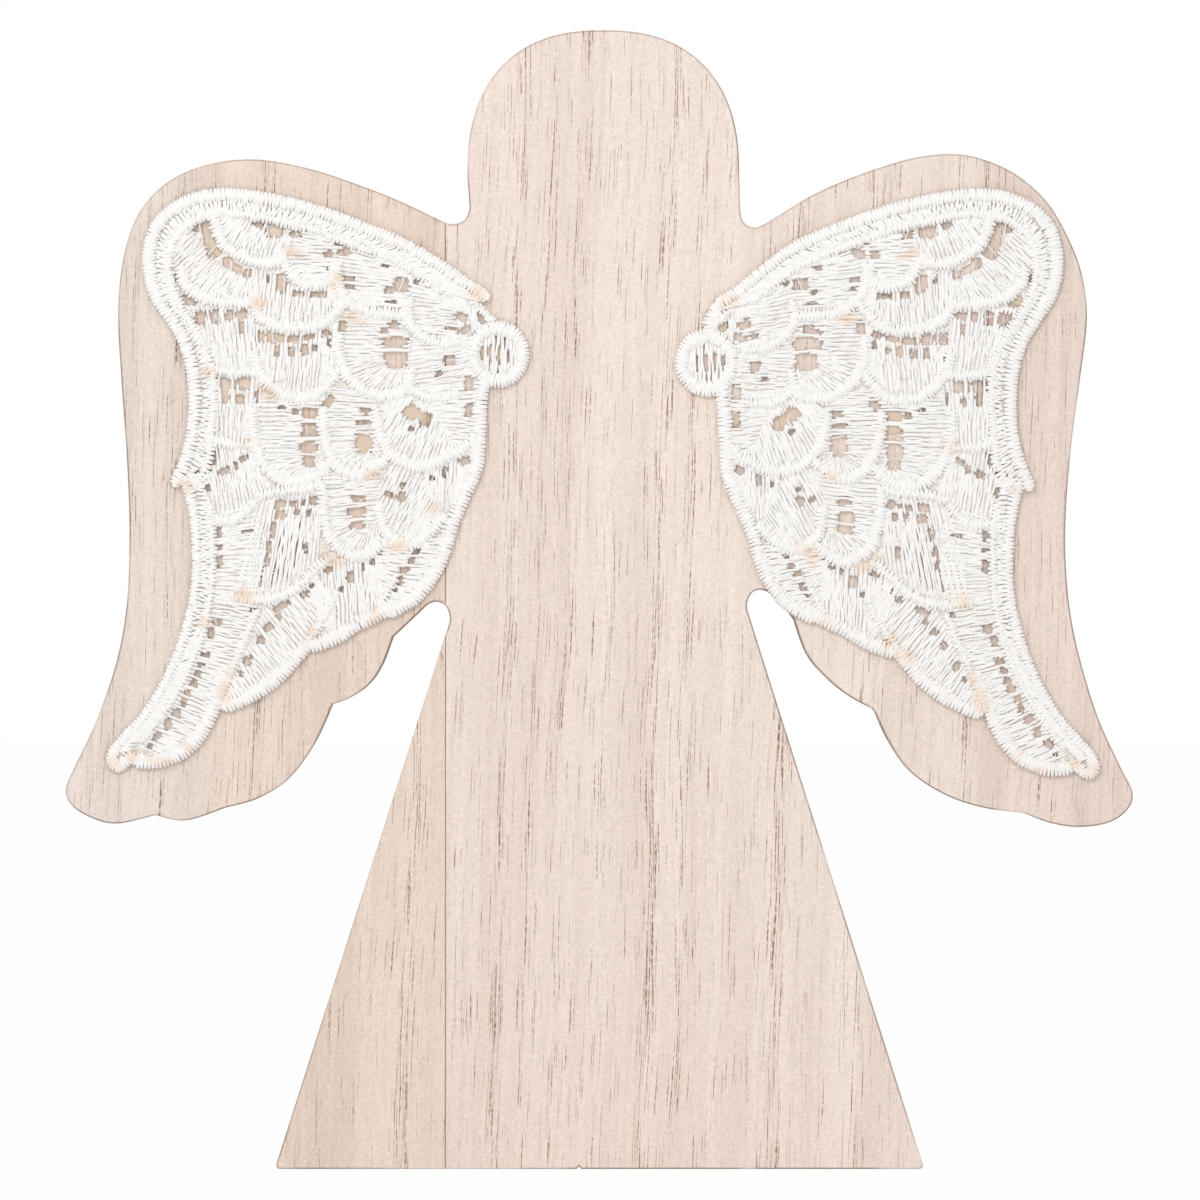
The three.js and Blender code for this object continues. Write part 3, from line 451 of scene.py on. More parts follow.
def wing_edge(stretches, sign):
    """Edge of a wing from the neck to the waist; two stretches meet in a cusp."""
    edge = []
    cusp = []
    for stretch in stretches:
        curve = along(cusp + stretch)
        edge.append(curve[1:] if cusp else curve)
        cusp = [stretch[-1]]
    return np.vstack(edge) * (sign, 1)


def board_outline():
    end = HEM_WIDTH / 2
    t = np.linspace(0, 1, 7)[:, None]
    foot = np.array((end - HEM_CORNER, 0.0))
    tip = np.array((end, 0.0))
    rise = np.array((end - HEM_CORNER / 3, HEM_CORNER))
    corner = (1 - t) ** 2 * foot + 2 * t * (1 - t) * tip + t**2 * rise
    nick = NICK_X + np.array((-0.5, 0, 0.5)) * NICK_WIDTH
    hem = np.vstack([(corner * (-1, 1))[::-1], np.column_stack([nick, (0, NICK_DEPTH, 0)]), corner])
    turn = np.linspace(0, math.pi, 121)
    across = signed_power(np.cos(turn), 2 / DOME_SQUARENESS)
    up = signed_power(np.sin(turn), 2 / DOME_SQUARENESS)
    dome = np.column_stack([HEAD_X + across * DOME_WIDTH / 2, NECK_V + NECK_LENGTH + up * DOME_RISE])
    return np.vstack([hem, wing_edge(RIGHT_WING, 1)[::-1], dome, wing_edge(LEFT_WING, -1)])


def leaves_of(outline):
    """The outline cut along the seam: the body leaf, then the leaves left of it from the top down."""
    loops = []
    body = []
    run = []
    count = len(outline)
    start = int(np.argmax(outline[:, 0] >= SEAM_X))
    for step in range(count):
        here = outline[(start + step) % count]
        after = outline[(start + step + 1) % count]
        left = here[0] < SEAM_X
        (run if left else body).append(here)
        if left != (after[0] < SEAM_X):
            share = (SEAM_X - here[0]) / (after[0] - here[0])
            height = here[1] + share * (after[1] - here[1])
            body.append((SEAM_X + SEAM_GAP / 2, height))
            run.append((SEAM_X - SEAM_GAP / 2, height))
            if left:
                loops.append(np.array(run))
                run = []
    loops.sort(key=lambda loop: -loop[:, 1].mean())
    return np.array(body), loops


def inset(loop, distance):
    """A counter-clockwise loop moved inwards."""
    step = unit(np.roll(loop, -1, axis=0) - loop)
    inward = np.column_stack([-step[:, 1], step[:, 0]])
    between = unit(inward + np.roll(inward, 1, axis=0))
    stretch = 1 / np.maximum((between * inward).sum(axis=1), MITRE_LIMIT)
    return loop + between * (distance * stretch)[:, None]


def cleaned(loop):
    """The loop without points that lie too close together; points on the seam stay."""
    kept = []
    for point in loop:
        near = kept and np.linalg.norm(point - kept[-1]) < CLOSE
        if near and abs(point[0] - SEAM_X) > SEAM_GAP:
            continue
        if near:
            kept.pop()
        kept.append(point)
    if np.linalg.norm(kept[0] - kept[-1]) < CLOSE:
        kept.pop(0 if abs(kept[-1][0] - SEAM_X) < SEAM_GAP else -1)
    return np.array(kept)


def ply(name, loop, back, front, faces_back, faces_front, material):
    """One layer of the board, with its arris and a scorched rim on each open face."""
    loop = cleaned(loop)
    profile = [(0, back, 1), (0, front, 1)]
    if faces_back:
        profile[:1] = [(SCORCH, back, 0), (ARRIS, back, ARRIS_BURN), (0, back + ARRIS, 1)]
    if faces_front:
        profile[-1:] = [(0, front - ARRIS, 1), (ARRIS, front, ARRIS_BURN), (SCORCH, front, 0)]
    count = len(loop)
    points = []
    edge = []
    on_seam = np.abs(loop[:, 0] - SEAM_X) < SEAM_GAP
    for distance, level, burn in profile:
        ring = inset(loop, distance) if distance else loop
        points.append(np.column_stack([ring, np.full(count, level)]))
        edge.append(np.where(on_seam, SEAM_BURN * burn, burn))
    faces = skin(len(profile), count)
    piece = new_piece(name, standing(np.vstack(points)), faces, material)
    mark(piece, "edge", np.concatenate(edge))
    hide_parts(name.replace("_wood", ""))


# Materials


class Nodes:
    """Short forms for building the nodes of a material or a world."""

    def __init__(self, name, kind="Material"):
        owners = bpy.data.worlds if kind == "World" else bpy.data.materials
        self.owner = owners.new(name)
        self.owner.use_nodes = True
        self.tree = self.owner.node_tree
        self.tree.nodes.clear()
        self.output = self.tree.nodes.new("ShaderNodeOutput" + kind)

    def add(self, kind, inputs=(), **settings):
        node = self.tree.nodes.new(kind)
        for key, value in settings.items():
            setattr(node, key, value)
        for key, value in dict(inputs).items():
            if isinstance(value, bpy.types.NodeSocket):
                self.tree.links.new(value, node.inputs[key])
            else:
                node.inputs[key].default_value = value
        return node

    def maths(self, operation, a, b=0.0, c=0.0):
        return self.add("ShaderNodeMath", {0: a, 1: b, 2: c}, operation=operation).outputs[0]

    def plus(self, a, b):
        return self.maths("ADD", a, b)

    def less(self, a, b):
        return self.maths("SUBTRACT", a, b)

    def times(self, a, b):
        return self.maths("MULTIPLY", a, b)

    def blend(self, share, a, b):
        return self.add("ShaderNodeMix", {0: share, 6: a, 7: b}, data_type="RGBA").outputs[2]

    def vector(self, x, y, z):
        return self.add("ShaderNodeCombineXYZ", {0: x, 1: y, 2: z}).outputs[0]

    def split(self, vector):
        return self.add("ShaderNodeSeparateXYZ", {0: vector}).outputs

    def scale(self, vector, factor):
        return self.add("ShaderNodeVectorMath", {0: vector, "Scale": factor}, operation="SCALE").outputs[0]

    def millimetres(self):
        return self.scale(self.add("ShaderNodeTexCoord").outputs["Object"], 1 / MM)

    def scaled(self, x, y, z, in_face, through):
        """A place with one scale in the board's face and another through its thickness."""
        return self.vector(self.times(x, in_face), self.times(y, through), self.times(z, in_face))

    def noise(self, vector, scale=1.0, detail=2.0, roughness=0.5):
        inputs = {"Vector": vector, "Scale": scale, "Detail": detail, "Roughness": roughness}
        return self.add("ShaderNodeTexNoise", inputs).outputs[0]

    def steps(self, value, low, high):
        """Smooth rise from 0 at low to 1 at high."""
        node = self.add("ShaderNodeMapRange", {0: value, 1: low, 2: high}, interpolation_type="SMOOTHSTEP")
        return node.outputs[0]

    def attribute(self, name):
        return self.add("ShaderNodeAttribute", attribute_name=name).outputs["Fac"]

    def seen(self):
        """1 for what the camera sees, also by gloss or through glass, and 0 for light on its way."""
        rays = self.add("ShaderNodeLightPath").outputs
        indirect = self.maths("MAXIMUM", rays["Is Glossy Ray"], rays["Is Transmission Ray"])
        return self.maths("MAXIMUM", rays["Is Camera Ray"], indirect)

    def finish(self, shader):
        self.tree.links.new(shader.outputs[0], self.output.inputs["Surface"])
        return self.owner

    def surface(self, colour, roughness, relief=None, **more):
        """Finishes a material; relief is a height, how strong it is and its depth in millimetres."""
        inputs = {"Base Color": colour, "Roughness": roughness}
        if relief:
            height, strength, depth = relief
            raised = {"Height": height, "Strength": strength, "Distance": depth * MM}
            inputs["Normal"] = self.add("ShaderNodeBump", raised).outputs[0]
        inputs.update({key.replace("_", " "): value for key, value in more.items()})
        return self.finish(self.add("ShaderNodeBsdfPrincipled", inputs))


# Tones of the veneer, light and dark: of the face and the tanner leaves, and of each towards its wing tip
FACE_TONES = [(0.89, 0.76, 0.68, 1), (0.8, 0.668, 0.592, 1)]
FACE_TIP_TONES = [(0.84, 0.705, 0.63, 1), (0.75, 0.605, 0.525, 1)]
TAN_TONES = [(0.835, 0.7, 0.605, 1), (0.75, 0.615, 0.52, 1)]
TAN_TIP_TONES = [(0.83, 0.725, 0.66, 1), (0.74, 0.63, 0.565, 1)]
OUTER_WING = (46.0, 60.0)  # how far out the change of tone begins and ends
STRIPE_SHADE = 0.16  # how strongly the fine stripes and the specks shade the veneer
SPECK_SHADE = 0.5

# The grain leans to the right as it rises, by a share of the height from its middle, and sways
GRAIN_LEAN = 0.033
GRAIN_MIDDLE = 70.0
GRAIN_SWAY = 2.2

# Rows of pores in the veneer: place across the grain, half width and how dense; a leaf takes ten of them
PORE_ROWS = [
    (-57, 1.4, 0.5), (-45, 1.5, 0.6), (-39.5, 1, 0.6), (-23.6, 1.6, 0.9), (-12.2, 1.3, 1),
    (-8.3, 0.7, 1), (-4.4, 1.4, 0.6), (1.3, 0.8, 0.5), (7.6, 1.5, 1), (11.6, 1, 0.8), (24.4, 2, 1),
    (35.5, 3, 0.6), (48.9, 1.3, 1),
]
LEFT_ROWS = PORE_ROWS[:10]
RIGHT_ROWS = PORE_ROWS[3:]
PORE_SPAN = 144  # width over which the rows are laid out
PORE_GROUND = 0.16  # density between the rows
PORE_LEVEL = 0.704  # where a pore begins in the noise, and how far the densest row lowers that
PORE_CROWDING = 0.149
PORE_EDGE = 0.014
PORE_COLOUR = (0.25, 0.14, 0.08, 1)
RIM_COLOUR = (0.62, 0.47, 0.37, 1)
CHAR_TONES = [(0.16, 0.105, 0.08, 1), (0.36, 0.26, 0.2, 1)]
PEACH = (0.94, 0.79, 0.67, 1)


def wood(name, tones, tip_tones, pore_rows, seed):
    n = Nodes(name)
    place = n.millimetres()
    x, y, z = n.split(place)
    lean = n.times(n.less(z, GRAIN_MIDDLE), GRAIN_LEAN)
    sway = n.noise(n.vector(n.times(x, 0.03), seed, n.times(z, 0.025)), detail=1.0)
    grain = n.plus(n.less(x, lean), n.times(n.less(sway, 0.5), GRAIN_SWAY))

    def stretched(across, length, detail=2.0, rough=0.5, shift=0.0):
        """Noise drawn out along the grain."""
        up = n.times(n.plus(z, seed * 31 + shift), length)
        deep = n.maths("MULTIPLY_ADD", y, 0.3, 0.5)
        return n.noise(n.vector(n.times(grain, across), deep, up), 1.0, detail, rough)

    broad = stretched(0.16, 0.006, 1.0)
    middle = stretched(0.9, 0.016, 2.0, 0.6, 50)
    fine = stretched(5.0, 0.12, 3.0, 0.6, 90)
    speck = n.noise(place, 3.4, 2.0, 0.7)
    tone = n.steps(n.plus(n.times(broad, 0.5), n.times(middle, 0.5)), 0.33, 0.68)
    outer = n.steps(n.maths("ABSOLUTE", x), *OUTER_WING)
    colour = n.blend(outer, n.blend(tone, *tones), n.blend(tone, *tip_tones))
    shade = n.plus(n.times(n.less(fine, 0.5), STRIPE_SHADE), n.times(n.less(speck, 0.5), SPECK_SHADE))
    colour = n.scale(colour, n.plus(shade, 1.0))

    ramp = n.add("ShaderNodeValToRGB", {0: n.maths("MULTIPLY_ADD", grain, 1 / PORE_SPAN, 0.5)})
    stops = ramp.color_ramp.elements
    for stop in stops:
        stop.color = (PORE_GROUND, PORE_GROUND, PORE_GROUND, 1)
    for middle_x, half, weight in pore_rows:
        peak = PORE_GROUND + (1 - PORE_GROUND) * weight
        for offset, level in ((-half, PORE_GROUND), (0, peak), (half, PORE_GROUND)):
            stop = stops.new(0.5 + (middle_x + offset) / PORE_SPAN)
            stop.color = (level, level, level, 1)
    dash = stretched(7.8, 0.1, 1.0, 0.5, 10)
    begin = n.less(PORE_LEVEL, n.times(ramp.outputs[0], PORE_CROWDING))
    dots = n.noise(n.vector(n.times(grain, 3.0), seed, n.times(z, 1.4)), 1.0, 1.0)
    dots = n.plus(n.times(n.steps(dots, 0.36, 0.56), 0.75), 0.25)
    pores = n.times(n.steps(n.less(dash, begin), 0.0, PORE_EDGE), dots)
    colour = n.blend(n.times(pores, 0.9), colour, PORE_COLOUR)

    edge = n.attribute("edge")
    patchy = n.noise(place, 0.12, 2.0)
    upward = n.split(n.add("ShaderNodeNewGeometry").outputs["Normal"])[2]
    burn = n.times(n.steps(edge, 0.15, 0.75), n.steps(patchy, 0.25, 0.55))
    # Painted light: the real char is painted fainter on edges that face upwards, as if washed out by the
    # light from above
    burn = n.times(burn, n.steps(upward, 0.55, 0.05))
    colour = n.blend(n.times(edge, 0.18), colour, RIM_COLOUR)
    streaks = n.noise(n.scaled(x, y, z, 1.6, 0.2), 1.0, 3.0)
    colour = n.blend(n.times(burn, 0.85), colour, n.blend(streaks, *CHAR_TONES))

    rough = n.maths("MULTIPLY_ADD", fine, 0.2, 0.62)
    height = n.less(n.times(fine, 0.5), n.times(pores, 1.2))
    height = n.plus(height, n.times(speck, 0.25))
    return n.surface(colour, rough, (height, 0.35, 0.06), Specular_IOR_Level=0.25)


def core_wood():
    n = Nodes("angel_core_ply")
    place = n.millimetres()
    x, y, z = n.split(place)
    streaks = n.noise(n.scaled(x, y, z, 1.8, 0.25), 1.0, 3.0)
    layers = n.noise(n.scaled(x, y, z, 0.05, 2.5), 1.0, 2.0)
    patchy = n.noise(place, 0.1, 2.0)
    colour = n.blend(streaks, (0.2, 0.125, 0.08, 1), (0.46, 0.31, 0.2, 1))
    colour = n.blend(n.times(layers, 0.6), colour, (0.52, 0.37, 0.25, 1))
    colour = n.blend(n.steps(patchy, 0.4, 0.7), colour, (0.17, 0.11, 0.08, 1))
    return n.surface(colour, 0.85, (streaks, 0.5, 0.08))


def cotton():
    n = Nodes("angel_lace_cotton")
    place = n.millimetres()
    patchy = n.noise(place, 0.35, 2.0)
    white = n.blend(n.attribute("thread"), (0.93, 0.908, 0.888, 1), (0.995, 0.977, 0.958, 1))
    colour = n.blend(n.times(n.attribute("tint"), n.steps(patchy, 0.2, 0.6)), white, PEACH)
    fibres = n.noise(place, 14.0, 2.0, 0.6)
    return n.surface(colour, 0.8, (fibres, 0.3, 0.04), Specular_IOR_Level=0.2, Sheen_Weight=0.1,
                     Sheen_Roughness=0.5)


def ground_cotton():
    """The thin stitching between the threads, with the tone of the wood showing through."""
    n = Nodes("angel_lace_ground")
    share = n.steps(n.noise(n.millimetres(), 1.3, 2.0), 0.36, 0.62)
    colour = n.blend(share, (0.84, 0.76, 0.68, 1), (0.98, 0.955, 0.925, 1))
    colour = n.blend(n.times(n.attribute("tint"), 0.6), colour, PEACH)
    return n.surface(colour, 0.9, Specular_IOR_Level=0.1)


def dried_glue():
    n = Nodes("angel_dried_glue")
    cloud = n.noise(n.millimetres(), 0.9, 3.0)
    colour = n.blend(cloud, (0.78, 0.65, 0.53, 1), (0.69, 0.55, 0.42, 1))
    return n.surface(colour, 0.45, (cloud, 0.4, 0.2))


# Lace


class Threads:
    """Thread tubes and flat stitches gathered into one mesh."""

    def __init__(self, side):
        self.side = side
        self.points = []
        self.faces = []
        self.tone = []
        self.count = 0

    def add(self, path, radius, tone, sides=5):
        """A tube along a path of (u, v, level)."""
        ahead = unit(np.gradient(path, axis=0))
        beside = unit(np.cross(ahead, (0, 0, 1)))
        above = np.cross(beside, ahead)
        turn = (np.arange(sides) + 0.5) * 2 * math.pi / sides
        ring = np.cos(turn)[None, :, None] * beside[:, None] + np.sin(turn)[None, :, None] * above[:, None]
        self.faces += skin(len(path), sides, self.count)
        self.points.append((path[:, None] + radius * ring).reshape(-1, 3))
        self.tone.append(np.repeat(tone, sides))
        self.count += len(path) * sides

    def plate(self, flat, triangles, back, front):
        """A flat plate over triangles, with walls round its openings; gives the plate's area."""
        count = len(flat)
        sides = {pair for triangle in triangles for pair in zip(triangle, triangle[1:] + triangle[:1])}
        for here, after in sorted(sides):
            if (after, here) not in sides:
                wall = (here, after, after + count, here + count)
                self.faces.append([self.count + place for place in wall])
        for triangle in triangles:
            self.faces.append([self.count + place for place in triangle])
            self.faces.append([self.count + count + place for place in triangle])
        for level in (back, front):
            self.points.append(np.column_stack([flat, np.full(count, level)]))
        self.tone.append(np.zeros(2 * count))
        self.count += 2 * count
        return float(twice_areas(flat[np.array(triangles)]).sum() / 2)

    def piece(self, name, material):
        side = self.side
        flat = np.vstack(self.points)
        tint = np.zeros(len(flat))
        for u, v, reach, breadth, tilt in side["spots"]:
            across, up = turned(flat, u, v, tilt)
            away = np.hypot(across / reach, up / breadth)
            tint = np.maximum(tint, np.exp(-away**4))
        piece = new_piece(name, standing(on_side(side, flat)), self.faces, material)
        mark(piece, "tint", tint)
        mark(piece, "thread", np.concatenate(self.tone))
        piece.data.shade_smooth()
        return piece


def on_side(side, flat):
    """Points of the drawn lace (u, v, level) where they lie on one wing."""
    out = RING_CENTRE[0] + side["shift"][0] + (flat[:, 0] - RING_CENTRE[0]) * side["stretch"]
    up = RING_CENTRE[1] + side["shift"][1] + (flat[:, 1] - RING_CENTRE[1]) * side["stretch"]
    near = np.clip((ROOT_END - flat[:, 0]) / (ROOT_END - ROOT_FULL), 0, 1)
    push = near**2 * (3 - 2 * near)
    out += side["root"][0] * push
    up += side["root"][1] * push
    return np.column_stack([side["sign"] * out, up, flat[:, 2]])


def rails_of(width, shift, line):
    """The two edges of a cord, drawn together at its round ends."""
    curve = along(line)
    length = length_of(curve)
    count = max(10, int(length / 0.3))
    curve = spaced(curve, np.linspace(0, 1, count))
    ahead = unit(np.gradient(curve, axis=0))
    beside = np.column_stack([-ahead[:, 1], ahead[:, 0]])
    to_end = length * (0.5 - np.abs(np.linspace(-0.5, 0.5, count)))
    bevel = 1 - np.minimum(to_end / (width / 2), 1)
    half = width / 2 * np.sqrt(np.maximum(1 - bevel**2, 0.1))
    return curve + beside * (shift + half)[:, None], curve + beside * (shift - half)[:, None]


def satin(threads, rails, free, chance):
    """One thread wound to and fro between two rails.

    Its loops bead a free edge, and run long and short where the cord meets a filling.
    """
    passes = max(4, round(max(map(length_of, rails)) / CORD_PITCH))
    step = np.arange(passes)
    swing = np.where(step % 2, LOOP_SWING, -LOOP_SWING)
    loose = chance.normal(0, SATIN_LOOSE, (2, passes))
    shares = shares_along(max(rails, key=length_of))
    one = spaced(rails[0], (step + swing + loose[0]) / (passes - 1), shares)
    other = spaced(rails[1], (step - swing + loose[1]) / (passes - 1), shares)
    width = np.maximum(np.linalg.norm(one - other, axis=1)[:, None], 0.4)
    reach = chance.uniform(SHORT_STITCH, LONG_STITCH, (2, passes, 1))
    if free is not None:
        reach[free] = chance.normal(BEAD, BEAD_SPREAD, (passes, 1))
    low, short = np.clip((THREAD - reach) / width, *STITCH_LIMITS)
    high = 1 - short
    share = np.array(STITCH_BENDS)[None, :]
    place = low + (high - low) * share
    flat = one[:, None] + (other - one)[:, None] * place[:, :, None]
    swell = 1 - np.abs(2 * share - 1) ** 2.2
    rise = np.minimum(CORD_CROWN, 0.4 * width) * (1 + chance.normal(0, 0.1, (passes, 1)))
    level = LACE_BACK + THREAD + SATIN_LIFT + rise * swell
    path = np.concatenate([flat, level[:, :, None]], axis=2)
    path[1::2] = path[1::2, ::-1]
    tone = np.repeat(np.clip(SATIN_TONE + chance.normal(0, 0.12, passes), 0, 1), share.shape[1])
    threads.add(path.reshape(-1, 3), THREAD, tone)


def window_depth(points):
    """For each point, the smallest of the windows' measures: below 1 inside a window."""
    least = np.full(len(points), 9.0)
    low = points.min(axis=0) - 2
    high = points.max(axis=0) + 2
    for u, v, width, height, tilt in WINDOWS:
        if not (low[0] < u < high[0] and low[1] < v < high[1]):
            continue
        across, up = turned(points, u, v, -tilt)
        across = np.abs(across) / (width / 2 + WINDOW_HEM)
        up = np.abs(up) / (height / 2 + WINDOW_HEM)
        least = np.minimum(least, (across**4 + up**4) ** 0.25)
    return least


def stretches_of(free):
    """Where each unbroken run of true values begins and stops."""
    breaks = np.flatnonzero(np.diff(np.concatenate([[0], free.astype(int), [0]])))
    return zip(breaks[::2], breaks[1::2])


def fill(threads, chance, crown, one_rail, other_rail, pitch=FILL_PITCH):
    """Slanting threads to and fro between two rails, broken at the windows."""
    one_line = along(one_rail)
    other_line = along(other_rail)
    one_length = length_of(one_line)
    other_length = length_of(other_line)
    passes = max(3, round(max(one_length, other_length) / pitch))
    crowded = min(one_length, other_length) < CROWDED * max(one_length, other_length)
    shares = shares_along(one_line if one_length > other_length else other_line)
    for step in range(passes):
        lean = LOOP_SWING if step % 2 else -LOOP_SWING
        loose = chance.normal(0, FILL_LOOSE, 2)
        start = spaced(one_line, [(step + 0.5 + lean + loose[0]) / passes], shares)[0]
        end = spaced(other_line, [(step + 0.5 - lean + loose[1]) / passes], shares)[0]
        if crowded and step % 2:
            short = start if one_length < other_length else end
            far = end if short is start else start
            short += (far - short) * chance.uniform(*SHORT_SHARE)
        span = np.linalg.norm(end - start)
        if span < 0.5:
            continue
        share = np.linspace(0, 1, max(6, int(span / 0.14)))[:, None]
        path = start + (end - start) * share
        beside = np.array((start[1] - end[1], end[0] - start[0])) / span
        wave = np.sin(share * span * WAVE_TURN + chance.uniform(0, 6.3)) * np.sin(share * math.pi)
        path = path + beside * wave * chance.uniform(*WAVE_REACH)
        level = LACE_BACK + FINE_THREAD + (crown + chance.normal(0, 0.03)) * (1 - (2 * share - 1) ** 4)
        whole = np.column_stack([path, level])
        tone = np.clip(FILL_TONE + chance.normal(0, 0.14), 0, 1)
        for begin, stop in stretches_of(window_depth(path) > 1 + chance.uniform(*FRAY)):
            if stop - begin < 4:
                continue
            picks = np.unique(np.linspace(begin, stop - 1, max(3, (stop - begin) // 3 + 1)).astype(int))
            threads.add(whole[picks], FINE_THREAD, np.full(len(picks), tone))


def ellipse(centre, reach, count=72):
    turn = np.linspace(0, 2 * math.pi, count)
    return np.column_stack([centre[0] + reach[0] * np.cos(turn), centre[1] + reach[1] * np.sin(turn)])


def window_loop(u, v, width, height, tilt):
    """Edge of the ground stitching round a window."""
    turn = np.linspace(0, 2 * math.pi, 20, endpoint=False)
    across = signed_power(np.cos(turn), 0.5) * (width / 2 + GROUND_HEM)
    up = signed_power(np.sin(turn), 0.5) * (height / 2 + GROUND_HEM)
    lean = math.radians(tilt)
    return np.column_stack([u + across * math.cos(lean) + up * math.sin(lean),
                            v - across * math.sin(lean) + up * math.cos(lean)])


def ground_sheet():
    """The ground stitching of a wing as flat triangles: its outline less the windows and slots."""
    loops = [along(WING_OUTLINE + WING_OUTLINE[:1], 4)[:-1][::-1]]
    loops += [window_loop(*window) for window in WINDOWS + SLOTS]
    faces = []
    count = 0
    for loop in loops:
        faces.append(list(range(count, count + len(loop))))
        count += len(loop)
    corners = [Vector(point) for point in np.vstack(loops).tolist()]
    points, _, triangles, _, _, inside = delaunay_2d_cdt(corners, [], faces, 1, 1e-4)
    kept = [list(triangle) for triangle, owners in zip(triangles, inside) if list(owners) == [0]]
    return np.array([tuple(point) for point in points]), kept


def loose_fibres(fibres, flat, triangles, chance):
    """Short curved fibres in all directions over the fillings."""
    corner = flat[np.array(triangles)]
    area = twice_areas(corner)
    for pick in chance.choice(len(triangles), FIBRE_COUNT, p=area / area.sum()):
        a, b = sorted(chance.uniform(0, 1, 2))
        start = a * corner[pick, 0] + (b - a) * corner[pick, 1] + (1 - b) * corner[pick, 2]
        share = np.linspace(0, 1, 5)
        turn = chance.uniform(0, 2 * math.pi) + chance.normal(0, 0.9) * share
        reach = chance.uniform(*FIBRE_STEP)
        line = start + np.cumsum(reach * np.column_stack([np.cos(turn), np.sin(turn)]), axis=0)
        level = LACE_BACK + 2 * FINE_THREAD + chance.uniform(*FIBRE_RISE) * np.sin(math.pi * share)
        fibres.add(np.column_stack([line, level + 0.06]), FIBRE, np.full(len(line), SATIN_TONE), 4)


def lace(side, material, ground_material):
    chance = np.random.default_rng(side["seed"])
    cords = Threads(side)
    ground = Threads(side)
    for cord in CORDS + side["cords"]:
        width, line, shift, free = (*cord, 0, NEITHER)[:4]
        satin(cords, rails_of(width, shift, line), free, chance)
    ring = (ellipse(RING_MIDDLE, RING_OUTSIDE), ellipse(RING_MIDDLE, RING_INSIDE))
    satin(cords, ring, FIRST, chance)
    flat, triangles = ground_sheet()
    area = ground.plate(flat, triangles, LACE_BACK, LACE_BACK + GROUND_HEIGHT)
    fibres = Threads(side)
    loose_fibres(fibres, flat, triangles, chance)
    feathers = Threads(side)
    tail = Threads(side)
    for filling in FILLS:
        lowest = min(v for u, v in filling[1] + filling[2])
        fill(tail if lowest < TAIL_TOP else feathers, chance, *filling)
    for bridge in BRIDGES:
        line = spaced(np.array(bridge), np.linspace(0, 1, 6))
        level = np.full(len(line), LACE_BACK + FINE_THREAD + chance.uniform(0, 0.15))
        feathers.add(np.column_stack([line, level]), BRIDGE_THREAD, np.full(len(line), SATIN_TONE))
    name = side["name"]
    cord_piece = cords.piece(name + "_lace_satin_stitches", material)
    feather_piece = feathers.piece(name + "_lace_feather_threads", material)
    tail_piece = tail.piece(name + "_lace_tail_threads", material)
    fibre_piece = fibres.piece(name + "_lace_loose_fibres", material)
    ground_piece = ground.piece(name + "_lace_ground_stitches", ground_material)
    ground_piece.data.shade_flat()
    for part in ("border_cord", "feather_cords", "root_ring"):
        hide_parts(name + "_lace_" + part)
    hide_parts(name + "_lace_net")
    area *= (side["stretch"] * MM) ** 2


# Stage, light and camera


FLOOR_REACH = 3.0
FLOOR_TONE = 0.95
FLOOR_GLOW = 0.95  # how far the floor shows as plain white
ROOM_LIGHT = 0.74  # strength of the white room's light on the angel
LENS = 227.8
EYE = (0.000066, -1.0025, 0.07494)


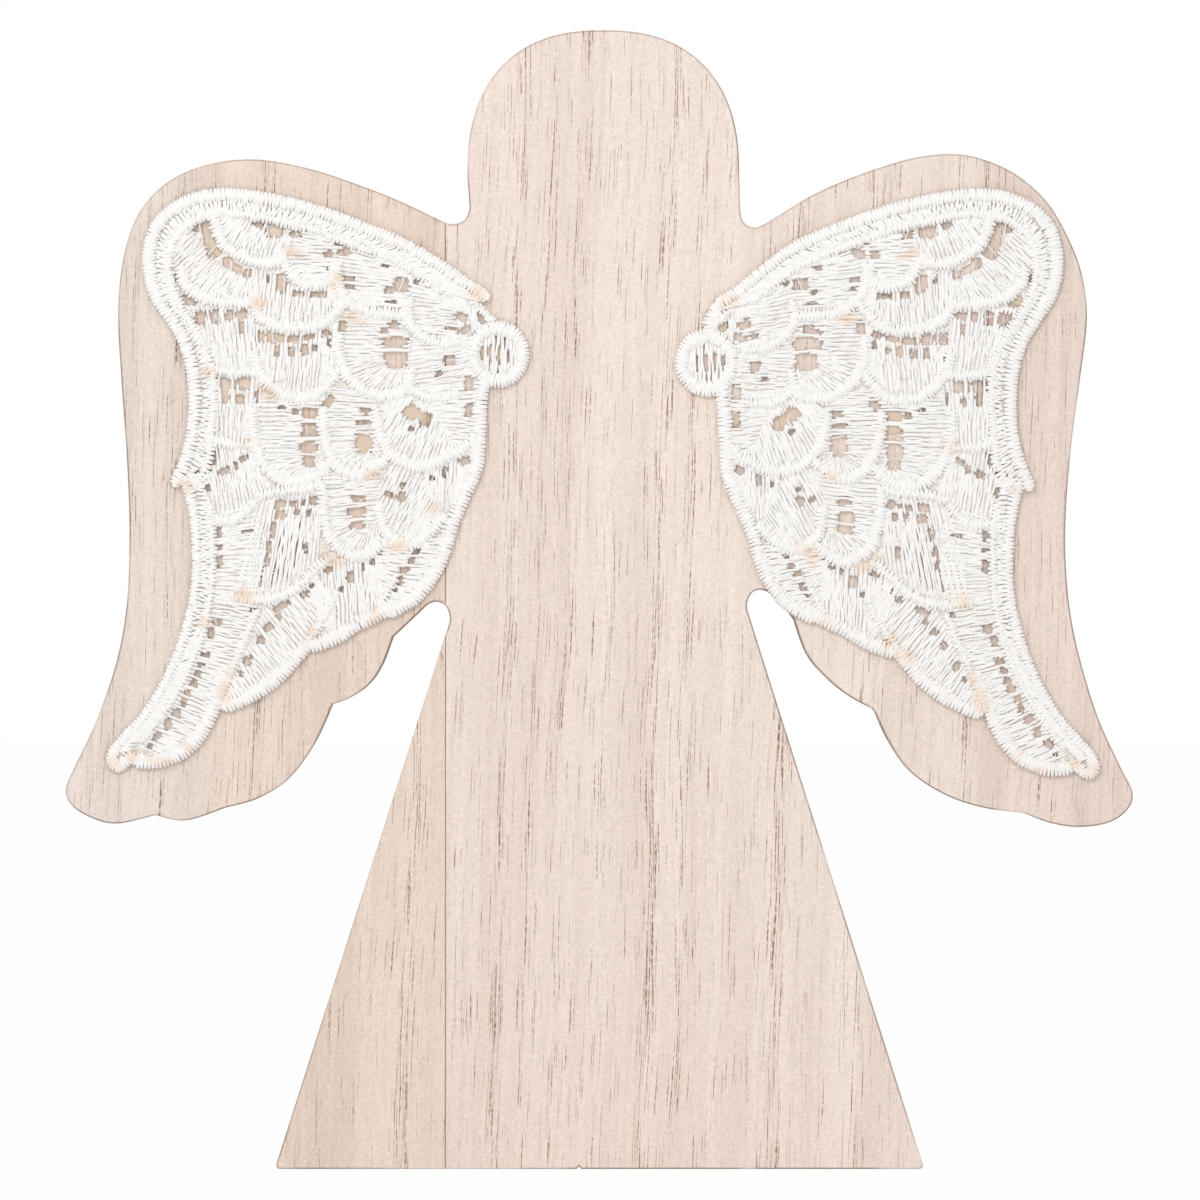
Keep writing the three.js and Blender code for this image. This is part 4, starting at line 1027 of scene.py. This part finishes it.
def stage():
    floor_mesh = bpy.data.meshes.new("floor")
    corners = [(-1, -1, 0), (1, -1, 0), (1, 1, 0), (-1, 1, 0)]
    floor_mesh.from_pydata([Vector(corner) * FLOOR_REACH for corner in corners], [], [(0, 1, 2, 3)])
    floor = new_object("floor", floor_mesh)
    n = Nodes("stage_floor")
    matt = n.add("ShaderNodeBsdfDiffuse", {"Color": (FLOOR_TONE, FLOOR_TONE, FLOOR_TONE, 1)})
    glow = n.add("ShaderNodeEmission", {"Color": (1, 1, 1, 1), "Strength": 1.0})
    share = n.times(n.seen(), FLOOR_GLOW)
    mix = n.add("ShaderNodeMixShader", {0: share, 1: matt.outputs[0], 2: glow.outputs[0]})
    floor_mesh.materials.append(n.finish(mix))

    n = Nodes("studio", "World")
    strength = n.add("ShaderNodeMapRange", {0: n.seen(), 3: ROOM_LIGHT, 4: 1.0}).outputs[0]
    room = n.add("ShaderNodeBackground", {"Color": (1, 1, 1, 1), "Strength": strength})
    bpy.context.scene.world = n.finish(room)


def lamp(name, place, target, size, power):
    light = bpy.data.lights.new(name, "AREA")
    light.shape = "DISK"
    light.size = size
    light.energy = power
    holder = new_object(name, light)
    holder.location = place
    towards = Vector(target) - Vector(place)
    holder.rotation_euler = towards.to_track_quat("-Z", "Y").to_euler()


def camera():
    view = bpy.data.cameras.new("camera")
    view.lens = LENS
    view.sensor_width = 36
    view.clip_start = 0.01
    holder = new_object("camera", view)
    holder.location = EYE
    holder.rotation_euler = (math.pi / 2, 0, 0)
    bpy.context.scene.camera = holder


camera()
face = wood("angel_face_veneer", FACE_TONES, FACE_TIP_TONES, RIGHT_ROWS, 4)
left_face = wood("angel_left_veneer", TAN_TONES, TAN_TIP_TONES, LEFT_ROWS, 7)
back_face = wood("angel_back_veneer", TAN_TONES, TAN_TONES, LEFT_ROWS, 9)
outline = board_outline()
body_leaf, left_leaves = leaves_of(outline)
ply("back_veneer_wood", outline, -BOARD_FACE, -CORE_FACE, True, False, back_face)
ply("core_ply_wood", outline, -CORE_FACE, CORE_FACE, False, False, core_wood())
front = [
    ("front_veneer_body_leaf_wood", body_leaf, face),
    ("front_veneer_left_wing_leaf_wood", left_leaves[0], left_face),
    ("front_veneer_left_skirt_leaf_wood", left_leaves[1], left_face),
]
for leaf_name, leaf, leaf_wood in front:
    ply(leaf_name, leaf, CORE_FACE, BOARD_FACE, False, True, leaf_wood)

thread_cotton = cotton()
thin_cotton = ground_cotton()
lace(SIDES[0], thread_cotton, thin_cotton)
lace(SIDES[1], thread_cotton, thin_cotton)

glue = dried_glue()
for node_name, node in nodes.items():
    if "glue_dab" in node_name:
        node.data.materials.clear()
        node.data.materials.append(glue)

stage()
lamp("key", (-0.28, -0.62, 0.5), (0, 0, 0.08), 0.45, 1.7)
lamp("fill", (0.5, -0.8, 0.15), (0, 0, 0.07), 0.6, 0.3)
bpy.context.scene.view_settings.view_transform = "Standard"
